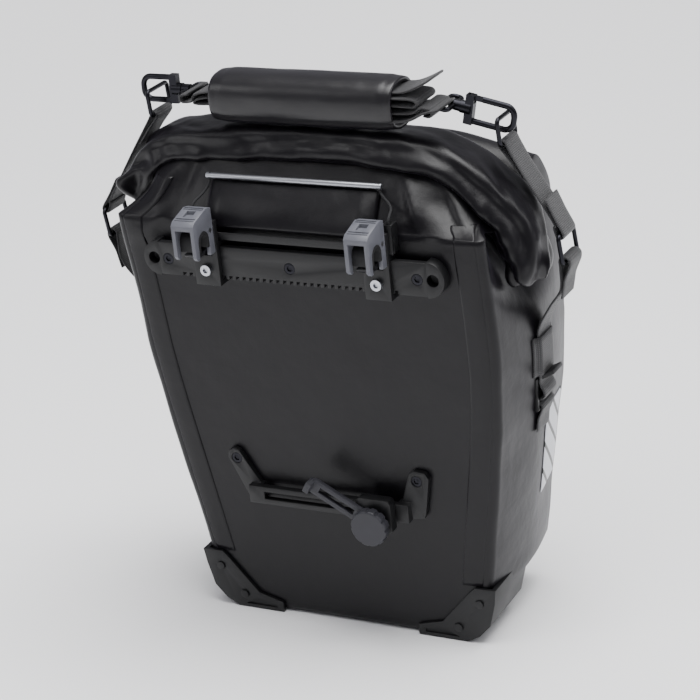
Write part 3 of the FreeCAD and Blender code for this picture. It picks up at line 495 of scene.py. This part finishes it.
# ---------------------------------------------------------------- rolled mouth
# The mouth of the bag, wound three times round a stiff strip and bent down at both ends. The layers
# show as shallow grooves along it, and the bends gather them into cross wrinkles.
def squarish(value, power):
    """A sine or cosine pushed outwards, which makes a round section squarer."""
    return abs(value) ** power * (1 if value > 0 else -1)


section_steps = 44
coarse_wrinkle = 0.0040
fine_wrinkle = 0.0011
layer_groove = 0.0013
skin = 0.001    # the section is this much smaller than the roll, as room for its wrinkles
roll_vertices = []
for index in range(roll_steps):
    share = index / (roll_steps - 1)
    place, normal = roll_at(share)
    along = Vector((normal.y, -normal.x))
    gather = 0.35 + 0.9 * ease((abs(share - 0.5) - 0.22) / 0.2)
    taper = 1 - 0.35 * (1 - min(share, 1 - share) / 0.03) ** 2 if min(share, 1 - share) < 0.03 else 1.0
    for step in range(section_steps):
        angle = 2 * pi * step / section_steps
        y = squarish(cos(angle), 0.72)
        lift = squarish(sin(angle), 0.8)
        seed = Vector((share * 17 + y * 1.6, y * 0.8, lift * 0.8))
        wrinkle = noise.noise(seed) * coarse_wrinkle + noise.noise(seed * 2.3) * fine_wrinkle
        layers = layer_groove * cos(angle * 5 + share * 4 + noise.noise(seed * 0.5) * 1.5)
        size = taper * (1 + (wrinkle * gather + layers) / roll_radius)
        offset = normal * (lift * (roll_radius - skin) * size) + along * (wrinkle * gather)
        roll_vertices.append(Vector((place.x + offset.x, roll_y + y * (roll_half - skin) * size,
                                     place.y + offset.y)))
roll_faces = tube_faces(roll_steps - 1, section_steps)
roll_faces.append(list(range(section_steps)))
roll_faces.append([(roll_steps - 1) * section_steps + step for step in range(section_steps)][::-1])
rolled_fabric = tarpaulin("rolled_coated_polyester", "070609", "0d0b0f", 0.34, 0.5)
rolled_mouth = piece_from("rolled_mouth", roll_vertices, roll_faces, rolled_fabric, "bag",
                          ("roll_top", "roll_stiffener"))
finish_modifier(rolled_mouth, "SUBSURF", levels=1, render_levels=1)

# ---------------------------------------------------------------- finger panel below the handle
# A foam-backed flap of the same sheet, welded to the collar at its foot and both sides, so that it
# stands off in a smooth bulge that fingers can get behind.
rod_low, rod_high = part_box("handle_rod")
panel_x0 = rod_low.x + 0.003
panel_x1 = rod_high.x - 0.003
panel_foot = mouth_z - 0.001
panel_top = rod_low.z - 0.0015
panel_bulge = 0.0068
panel_rim = 0.012       # width over which the bulge rises from each side weld
panel_stand = 0.0012
panel_columns = 60
panel_rows = 24
panel_vertices = []
for row in range(panel_rows + 1):
    v = row / panel_rows
    for column in range(panel_columns + 1):
        u = column / panel_columns
        rim = min(u, 1 - u) * (panel_x1 - panel_x0) / panel_rim
        bulge = panel_bulge * sin(pi * (0.18 + 0.74 * v)) ** 0.8 * min(rim, 1.0) ** 0.6
        panel_vertices.append(on_shell(mix(panel_x0, panel_x1, u), mix(panel_foot, panel_top, v),
                                       panel_stand + bulge))
finger_panel = piece_from("finger_panel", panel_vertices, grid_faces(panel_rows, panel_columns),
                          coated_fabric, "bag", ("handle_panel",))
finish_modifier(finger_panel, "SOLIDIFY", thickness=0.0012, offset=0)


# ---------------------------------------------------------------- moulded and machined pieces
# Injection-moulded nylon, acetal and plated steel pieces of the rack mount and of the fittings. Each
# keeps its CAD shape, with its edges rounded as the mould or the press leaves them.
def moulded(node, body, material, radius=0.0005, smooth=40):
    """Copy of a CAD node, welded and with rounded edges, that replaces it."""
    source = nodes[node].data
    mesh = bpy.data.meshes.new(node + "_piece")
    mesh.from_pydata([v.co for v in source.vertices], [], [list(p.vertices) for p in source.polygons])
    mesh.materials.append(material)
    shape = bmesh.new()
    shape.from_mesh(mesh)
    bmesh.ops.remove_doubles(shape, verts=shape.verts, dist=2e-6)
    bmesh.ops.dissolve_limit(shape, angle_limit=radians(1), verts=shape.verts, edges=shape.edges)
    shape.to_mesh(mesh)
    shape.free()
    piece = bpy.data.objects.new(node + "_piece", mesh)
    bpy.context.scene.collection.objects.link(piece)
    if radius:
        finish_modifier(piece, "BEVEL", width=radius, segments=2, limit_method="ANGLE",
                        angle_limit=radians(35))
    select_only(piece)
    bpy.ops.object.shade_smooth_by_angle(angle=radians(smooth))
    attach(piece, body)
    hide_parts(node)
    return piece


# Moulded nylon: a spark-eroded texture of 0.5 mm grain, satin, with paler rubbed patches.
def moulded_nylon(name, dark, light, roughness):
    material, shader = new_material(name)
    place = add_node(material, "ShaderNodeTexCoord").outputs["Object"]
    rubbed = add_node(material, "ShaderNodeTexNoise", {"Vector": place, "Scale": 60.0, "Detail": 6.0})
    tone = add_node(material, "ShaderNodeMix", {"A": linear(dark), "B": linear(light),
                                                "Factor": rubbed.outputs["Fac"]}, data_type="RGBA")
    grain = add_node(material, "ShaderNodeTexNoise", {"Vector": place, "Scale": 2000.0, "Detail": 2.0})
    bump = add_node(material, "ShaderNodeBump", {"Height": grain.outputs["Fac"], "Strength": 0.25,
                                                 "Distance": 0.0001})
    rub = add_node(material, "ShaderNodeMapRange", {"Value": rubbed.outputs["Fac"], "To Min": roughness - 0.06,
                                                    "To Max": roughness + 0.1})
    set_inputs(material, shader, {
        "Base Color": tone.outputs["Result"], "Roughness": rub.outputs["Result"],
        "Normal": bump.outputs["Normal"], "IOR": 1.53, "Specular IOR Level": 0.34})
    return material


# Plated or anodised metal: bright, with fine wear streaks that change its roughness.
def plated_metal(name, colour, roughness):
    material, shader = new_material(name)
    place = add_node(material, "ShaderNodeTexCoord").outputs["Object"]
    streaks = add_node(material, "ShaderNodeTexNoise", {"Vector": place, "Scale": 320.0, "Detail": 5.0})
    rub = add_node(material, "ShaderNodeMapRange", {"Value": streaks.outputs["Fac"], "To Min": roughness - 0.06,
                                                    "To Max": roughness + 0.12})
    bump = add_node(material, "ShaderNodeBump", {"Height": streaks.outputs["Fac"], "Strength": 0.06,
                                                 "Distance": 0.0002})
    set_inputs(material, shader, {
        "Base Color": linear(colour), "Metallic": 1.0, "Roughness": rub.outputs["Result"],
        "Normal": bump.outputs["Normal"]})
    return material


black_nylon = moulded_nylon("black_glass_filled_nylon", "0b0b0c", "131315", 0.42)
grey_nylon = moulded_nylon("grey_nylon", "505158", "66676e", 0.38)
knob_nylon = moulded_nylon("dark_grey_nylon", "26262b", "34343a", 0.5)
acetal = moulded_nylon("black_acetal", "101012", "18181b", 0.3)
soft_insert = moulded_nylon("black_elastomer", "131314", "1b1b1d", 0.7)
dark_plating = plated_metal("black_nickel_plated_zinc", "2a2a2e", 0.3)
bright_plating = plated_metal("zinc_plated_steel", "b9bbc0", 0.3)
satin_aluminium = plated_metal("anodised_aluminium", "a9abb0", 0.34)

for node in ("mounting_rail", "rail_end_guards", "cord_guides", "lower_rail"):
    moulded(node, "bag", black_nylon)
moulded("release_bar", "pull_handle", black_nylon, 0.0003)
for node in ("bumper_front", "bumper_rear"):
    moulded(node, "bag", black_nylon, 0.0014)
moulded("slider", "lower_slider", black_nylon)
moulded("swing_arm", "rack_arm", knob_nylon, 0.0006)
moulded("clamp_knob", "clamp_knob", knob_nylon, 0.0006)
moulded("clamp_screw", "clamp_knob", bright_plating, 0.0)
for node in ("rail_screws", "lower_screws", "bumper_rivets"):
    moulded(node, "bag", black_nylon if node == "bumper_rivets" else dark_plating, 0.0003)
moulded("handle_rod", "pull_handle", satin_aluminium, 0.0005)

for side in ("left", "right"):
    hook = "hook_" + side
    moulded("hook_carriage_" + side, hook, black_nylon, 0.0004)
    moulded("hook_shell_" + side, hook, grey_nylon, 0.0007)
    moulded("hook_liner_" + side, hook, soft_insert, 0.0003)
    moulded("latch_" + side, "latch_" + side, acetal, 0.0004)
    for node in ("hook_screw_", "latch_pin_", "latch_spring_"):
        moulded(node + side, hook, bright_plating, 0.0)
    for node in ("d_ring_", "end_hook_", "snap_eye_", "snap_hook_", "snap_gate_"):
        moulded(node + side, node + side, dark_plating, 0.0)
    moulded("ladder_lock_" + side, "ladder_lock_" + side, black_nylon, 0.0005)

# ---------------------------------------------------------------- grip ribs on the hook caps
# Four ribs across the sloping top of each hook cap, 17 mm long and 1.1 mm thick. They are moulded
# with the cap in one piece.
rib_size = (0.017, 0.0011, 0.0014, 1.0)
for side in ("left", "right"):
    cap_low, cap_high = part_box("hook_shell_" + side)
    middle_x = (cap_low.x + cap_high.x) / 2
    bpy.ops.object.select_all(action="DESELECT")
    shape = bmesh.new()
    for back_from_front in (0.0045, 0.0070, 0.0195, 0.0215):
        rib_y = cap_low.y + back_from_front
        rib_z = cap_high.z - 0.005 * (1 - min((back_from_front - 0.003) / 0.0188, 1.0))
        place = Matrix.Translation((middle_x, rib_y, rib_z)) @ Matrix.Diagonal(rib_size)
        bmesh.ops.create_cube(shape, size=1.0, matrix=place)
    mesh = bpy.data.meshes.new("hook_ribs_" + side)
    shape.to_mesh(mesh)
    shape.free()
    mesh.materials.append(grey_nylon)
    ribs_piece = bpy.data.objects.new("hook_ribs_" + side, mesh)
    bpy.context.scene.collection.objects.link(ribs_piece)
    finish_modifier(ribs_piece, "BEVEL", width=0.0003, segments=2)
    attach(ribs_piece, "hook_" + side)

# ---------------------------------------------------------------- pull cords
# Two braided cords, 2 mm thick, tied through the ends of the handle rod. They run down through the
# guides to the release bar, and bow a little where the bag's collar pushes them out.
guide_low, guide_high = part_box("cord_guides")
bar_low, bar_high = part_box("release_bar")
cord_diameter = 0.002
cord_y = (bar_low.y + bar_high.y) / 2
rod_y = (rod_low.y + rod_high.y) / 2
rod_z = (rod_low.z + rod_high.z) / 2
rod_radius = rod_high.z - rod_z

braid, braid_shader = new_material("braided_polyester_cord")
braid_place = add_node(braid, "ShaderNodeTexCoord").outputs["Object"]
strands = add_node(braid, "ShaderNodeTexWave", {"Vector": braid_place, "Scale": 420.0, "Distortion": 2.0},
                   bands_direction="DIAGONAL")
braid_bump = add_node(braid, "ShaderNodeBump", {"Height": strands.outputs["Fac"], "Strength": 0.6,
                                                "Distance": 0.0002})
braid_tone = add_node(braid, "ShaderNodeMix", {"A": linear("0e0e10"), "B": linear("1c1c1f"),
                                               "Factor": strands.outputs["Fac"]}, data_type="RGBA")
set_inputs(braid, braid_shader, {"Base Color": braid_tone.outputs["Result"], "Roughness": 0.8,
                                 "Normal": braid_bump.outputs["Normal"]})
guide_left_x = guide_low.x + 0.004
guide_right_x = guide_high.x - 0.004
for side, top_x, low_x, bow in (("left", rod_low.x + 0.003, guide_left_x, -0.0015),
                                ("right", rod_high.x - 0.003, guide_right_x, 0.005)):
    route = [(top_x, rod_y, rod_z + rod_radius), (top_x, rod_y, rod_z - 0.005),
             (top_x * 0.45 + low_x * 0.55 + bow, rod_y * 0.7 + cord_y * 0.3, rod_z - 0.013),
             (low_x + bow * 0.4, cord_y - 0.0006, guide_high.z + 0.006),
             (low_x, cord_y, bar_high.z + 0.011), (low_x, cord_y, bar_high.z)]
    curve = bpy.data.curves.new("pull_cord_" + side, "CURVE")
    curve.dimensions = "3D"
    spline = curve.splines.new("NURBS")
    spline.points.add(len(route) - 1)
    for point, place in zip(spline.points, route):
        point.co = (*place, 1)
    spline.order_u = 3
    spline.use_endpoint_u = True
    curve.bevel_depth = cord_diameter / 2
    curve.bevel_resolution = 4
    curve.use_fill_caps = True
    curve.materials.append(braid)
    cord = bpy.data.objects.new("pull_cord_" + side, curve)
    bpy.context.scene.collection.objects.link(cord)
    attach(cord, "pull_handle")
    if side == "left":
        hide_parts("pull_cords")

# ---------------------------------------------------------------- webbing
# Nylon webbing, 25 mm wide and 2 mm thick, woven with ribs across it. Each strap turns round its bar
# and is stitched back on itself.
woven, woven_shader = new_material("woven_nylon_webbing")
along = add_node(woven, "ShaderNodeUVMap", uv_map="along").outputs["UV"]
# ribs 1.5 mm apart along the strap, warp threads 1 mm apart across it
ribs = add_node(woven, "ShaderNodeTexWave", {"Vector": along, "Scale": 209.0, "Distortion": 0.4,
                                             "Detail Scale": 60.0}, bands_direction="Y")
warp = add_node(woven, "ShaderNodeTexWave", {"Vector": along, "Scale": 314.0, "Distortion": 0.4,
                                             "Detail Scale": 60.0}, bands_direction="X")
weave = add_node(woven, "ShaderNodeMath", {0: ribs.outputs["Fac"], 1: warp.outputs["Fac"]},
                 operation="MULTIPLY")
woven_bump = add_node(woven, "ShaderNodeBump", {"Height": weave.outputs["Value"], "Strength": 0.7,
                                                "Distance": 0.0004})
woven_tone = add_node(woven, "ShaderNodeMix", {"A": linear("0f0f11"), "B": linear("252428"),
                                               "Factor": weave.outputs["Value"]}, data_type="RGBA")
set_inputs(woven, woven_shader, {"Base Color": woven_tone.outputs["Result"], "Roughness": 0.62,
                                 "Normal": woven_bump.outputs["Normal"], "Sheen Weight": 0.2})
webbing_thickness = 0.002


def webbing(name, line, y, width, replaced=()):
    """Flat strap along a line of X and Z points, centred on y, with rounded selvedges."""
    columns = [-0.5, -0.485, -0.44, -0.3, -0.15, 0.0, 0.15, 0.3, 0.44, 0.485, 0.5]
    vertices = []
    uvs = []
    length = 0.0
    count = len(line)
    for index, place in enumerate(line):
        if index:
            length += (place - line[index - 1]).length
        tangent = (line[min(index + 1, count - 1)] - line[max(index - 1, 0)]).normalized()
        normal = Vector((-tangent.y, tangent.x))
        for face in (1, -1):
            for column in columns if face > 0 else columns[::-1]:
                edge = min(1.0, (0.5 - abs(column)) / 0.06 + 0.35)
                offset = normal * (face * edge * webbing_thickness / 2)
                vertices.append(Vector((place.x + offset.x, y + column * width, place.y + offset.y)))
                uvs.append((column * width, length))
    ring = 2 * len(columns)
    faces = [list(range(ring))[::-1], [(count - 1) * ring + step for step in range(ring)]]
    faces += tube_faces(count - 1, ring)
    return piece_from(name, vertices, faces, woven, "bag", replaced, uvs)


def bar_turn(centre, towards, radius, side):
    """Line that comes back along a strap, turns round a bar and leaves towards a point."""
    ahead = (towards - centre).normalized()
    out = Vector((-ahead.y, ahead.x)) * side
    steps = [centre + out * (webbing_thickness * 1.1) + ahead * reach for reach in (0.030, 0.022, 0.014)]
    steps.append(centre + out * radius + ahead * 0.003)
    for angle in range(0, 181, 20):
        a = radians(angle)
        steps.append(centre + out * (radius * cos(a)) - ahead * (radius * sin(a)))
    steps.append(centre - out * (radius * 0.6) + ahead * 0.007)
    return steps


bar_radius = 0.0018
turn_radius = bar_radius + webbing_thickness / 2 + 0.0001


def flat(x, z):
    return Vector((x, z))


# each side's run above its hook and run below it, as X and Z, and the Y of its middle
strap_routes = {
    "left": ([flat(-0.148, 0.414), flat(-0.172, 0.383), flat(-0.190, 0.356), flat(-0.202, 0.338),
              flat(-0.207, 0.330)],
             [flat(-0.204, 0.308), flat(-0.199, 0.287)], 0.0),
    "right": ([flat(0.151, 0.402), flat(0.165, 0.381), flat(0.181, 0.355), flat(0.189, 0.341),
               flat(0.193, 0.332)],
              [flat(0.1955, 0.310), flat(0.1905, 0.287)], 0.010),
}
keeper_low, keeper_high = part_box("strap_keepers")
keeper_z = (keeper_low.z + keeper_high.z) / 2
keeper_half = (keeper_high.z - keeper_low.z) / 2
lock_z = keeper_z - 0.032
lock_drop = 0.0125          # from the ladder lock's middle bar to its round lower bar
anchor_z = keeper_z - 0.066
webbing_width = 0.025
edge_stand = 0.0016         # from the bag's side to the middle of a strap on it
keeper_rows = 6
keeper_columns = 16
keeper_margin = 0.007       # how far the keeper reaches past the strap on both sides
hook_loop_turn = 0.0044
anchor_turn = 0.0031


def side_x(sign, y, z):
    """X of the body's side at Y and Z."""
    return shell_tree.ray_cast(Vector((sign * outside, y, z)), Vector((-sign, 0, 0)))[0].x


def beside(sign, y, z, away=edge_stand):
    """Point of a strap that lies along the body's side, a distance off it."""
    return flat(side_x(sign, y, z) + sign * away, z)


for side, (upper, lower, y) in strap_routes.items():
    sign = -1 if side == "left" else 1
    top_turn = bar_turn(upper[0], upper[1], turn_radius, -sign)
    low_turn = bar_turn(upper[-1], upper[-2], turn_radius, -sign)
    line = smooth_line(top_turn + upper[1:-1] + low_turn[::-1], 4)
    webbing("end_strap_" + side, line, y, webbing_width, ("end_straps",) if side == "left" else ())
    # side strap: from its loop on the hook, through the keeper, then out through the ladder lock's
    # upper slot, over the middle bar and back in below it
    lock_low, lock_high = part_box("ladder_lock_" + side)
    lock_x = lock_low.x + 0.002 if sign > 0 else lock_high.x - 0.002
    loose = bar_turn(lower[0], lower[1], hook_loop_turn, sign)
    run = [lower[1], flat(lower[1].x - sign * 0.010, keeper_z + 0.042),
           beside(sign, y, keeper_z + 0.022, 0.0026)]
    run += [beside(sign, y, z) for z in (keeper_z, lock_z + 0.015, lock_z + 0.008)]
    over = [flat(lock_x + sign * 0.0052, lock_z + 0.002), flat(lock_x + sign * 0.0052, lock_z - 0.003),
            flat(lock_x - sign * 0.002, lock_z - 0.0066)]
    webbing("side_strap_" + side, smooth_line(loose + run + over, 5), y, webbing_width,
            ("side_straps",) if side == "left" else ())
    turn = bar_turn(flat(lock_x, lock_z - lock_drop), flat(lock_x - sign * 0.004, lock_z - 0.03),
                    anchor_turn, -sign)
    anchor = turn[3:] + [beside(sign, y, lock_z - 0.024), beside(sign, y, anchor_z)]
    webbing("anchor_strap_" + side, smooth_line(anchor, 4), y, webbing_width)
    # keeper: wide elastic band, sewn down on both sides of the strap
    vertices = []
    for row in range(keeper_rows + 1):
        z = keeper_z + keeper_half * (row / 3 - 1)
        for column in range(keeper_columns + 1):
            offset = (column / keeper_columns - 0.5) * (webbing_width + 2 * keeper_margin)
            over_strap = ease((webbing_width / 2 + 0.004 - abs(offset)) / 0.004)
            on_skin = abs(side_x(sign, y + offset, z)) + 0.0007
            on_strap = abs(beside(sign, y, z).x) + 0.0021
            vertices.append(Vector((max(on_skin, over_strap * on_strap) * sign, y + offset, z)))
    keeper = piece_from("keeper_" + side, vertices, grid_faces(keeper_rows, keeper_columns), woven, "bag",
                        ("strap_keepers",) if side == "left" else (),
                        [(vertex.y, vertex.z) for vertex in vertices])
    finish_modifier(keeper, "SOLIDIFY", thickness=0.0013, offset=0)

# ---------------------------------------------------------------- shoulder strap and pad
# The shoulder strap is folded into a hank of flat layers, and a foam pad is wrapped round the hank.
# The pad has a coated skin, a welded seam along its lower edge and a bound edge at both ends.
pad_low, pad_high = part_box("shoulder_pad")
pad_middle = (pad_low + pad_high) / 2
pad_y_half = (pad_high.y - pad_low.y) / 2
pad_z_half = (pad_high.z - pad_low.z) / 2
pad_steps = 90
pad_ring = 56
pad_vertices = []
pad_length = pad_high.x - pad_low.x
for index in range(pad_steps + 1):
    share = index / pad_steps
    x = mix(pad_low.x, pad_high.x, share)
    from_end = min(share, 1 - share) * pad_length
    puff = 0.93 + 0.07 * ease(from_end / 0.012) + 0.02 * sin(pi * share)
    rim = 0.018 * exp(-((from_end - 0.003) / 0.0022) ** 2)
    for step in range(pad_ring):
        angle = 2 * pi * step / pad_ring
        y = squarish(cos(angle), 0.8)
        z = squarish(sin(angle), 0.8)
        seam = -0.055 * exp(-((angle - radians(215)) / 0.05) ** 2)
        lip = 0.02 * exp(-((angle - radians(223)) / 0.09) ** 2)
        seed = Vector((x * 30, y * 1.2, z * 1.2))
        soft = 0.016 * noise.noise(seed) + 0.006 * noise.noise(seed * 3)
        size = puff + rim + seam + lip + soft
        pad_vertices.append(Vector((x, pad_middle.y + y * pad_y_half * size,
                                    pad_middle.z + z * pad_z_half * size)))
pad_skin = tarpaulin("coated_pad_skin", "08070a", "100e12", 0.33, 0.25)
pad_skin.node_tree.nodes["Principled BSDF"].inputs["Specular IOR Level"].default_value = 0.5
shoulder_pad = piece_from("shoulder_pad_cover", pad_vertices, tube_faces(pad_steps, pad_ring), pad_skin,
                          "bag", ("shoulder_pad",))
finish_modifier(shoulder_pad, "SOLIDIFY", thickness=0.004, offset=-1)

eye_turn = 0.0031
eye_left = flat(-0.109, 0.434)
eye_right = flat(0.103, 0.432)
z0 = pad_middle.z
hank = bar_turn(eye_left, eye_left + flat(0.05, 0.0), eye_turn, 1)[3:] + [
    flat(-0.095, z0 + 0.005), flat(-0.05, z0 + 0.008), flat(0.05, z0 + 0.0075), flat(0.086, z0 + 0.008),
    flat(0.0935, z0 + 0.006), flat(0.0925, z0 + 0.0025), flat(0.084, z0 + 0.002), flat(0.03, z0 + 0.003),
    flat(-0.07, z0 + 0.002), flat(-0.092, z0 + 0.001), flat(-0.099, z0 - 0.0015), flat(-0.096, z0 - 0.004),
    flat(-0.06, z0 - 0.003), flat(0.05, z0 - 0.004), flat(0.088, z0 - 0.003)]
hank += bar_turn(eye_right, eye_right + flat(-0.05, 0.012), eye_turn, 1)[::-1][:-3]
webbing("shoulder_strap_hank", smooth_line(hank, 4), pad_middle.y, 0.036, ("shoulder_strap",))
tail = [flat(0.040, z0 + 0.011), flat(0.070, z0 + 0.0115), flat(0.082, z0 + 0.0125), flat(0.093, z0 + 0.0165),
        flat(0.102, z0 + 0.021)]
webbing("shoulder_strap_tail", smooth_line(tail, 8), pad_middle.y + 0.002, 0.034)
under = [flat(0.060, z0 - 0.010), flat(0.084, z0 - 0.009), flat(0.100, z0 - 0.002), flat(0.112, z0 + 0.001)]
webbing("shoulder_strap_layer", smooth_line(under, 8), pad_middle.y - 0.003, 0.034)

# ---------------------------------------------------------------- reflective patches
# Retroreflective film welded to each gusset, white with slanted black bars across it. It is 0.4 mm
# thick and follows the curve of the gusset.
film, film_shader = new_material("retroreflective_film")
film_place = add_node(film, "ShaderNodeUVMap", uv_map="along").outputs["UV"]
bars = add_node(film, "ShaderNodeTexWave", {"Vector": film_place, "Scale": 25.0}, bands_direction="DIAGONAL")
cut = add_node(film, "ShaderNodeMath", {0: bars.outputs["Fac"], 1: 0.9}, operation="GREATER_THAN")
beads = add_node(film, "ShaderNodeTexVoronoi", {"Vector": film_place, "Scale": 900.0})
film_tone = add_node(film, "ShaderNodeMix", {"A": linear("c9cad0"), "B": linear("151517"),
                                             "Factor": cut.outputs["Value"]}, data_type="RGBA")
film_bump = add_node(film, "ShaderNodeBump", {"Height": beads.outputs["Distance"], "Strength": 0.15,
                                              "Distance": 0.0002})
set_inputs(film, film_shader, {"Base Color": film_tone.outputs["Result"], "Roughness": 0.35,
                               "Normal": film_bump.outputs["Normal"]})
patch_low, patch_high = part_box("reflective_patches")
patch_columns = 14
patch_rows = 26
patch_inner = 0.053     # from the front face to the edges of each patch
patch_outer = 0.010
for sign, side in ((-1, "left"), (1, "right")):
    vertices = []
    uvs = []
    for row in range(patch_rows + 1):
        z = mix(patch_low.z, patch_high.z, row / patch_rows)
        front = outline_at(z)[2]
        for column in range(patch_columns + 1):
            y = front - mix(patch_inner, patch_outer, column / patch_columns)
            vertices.append(Vector((side_x(sign, y, z) + sign * 0.0005, y, z)))
            uvs.append((y * sign, z))
    patch = piece_from("reflective_patch_" + side, vertices, grid_faces(patch_rows, patch_columns), film,
                       "bag", ("reflective_patches",) if side == "left" else (), uvs)
    finish_modifier(patch, "SOLIDIFY", thickness=0.0004, offset=0)
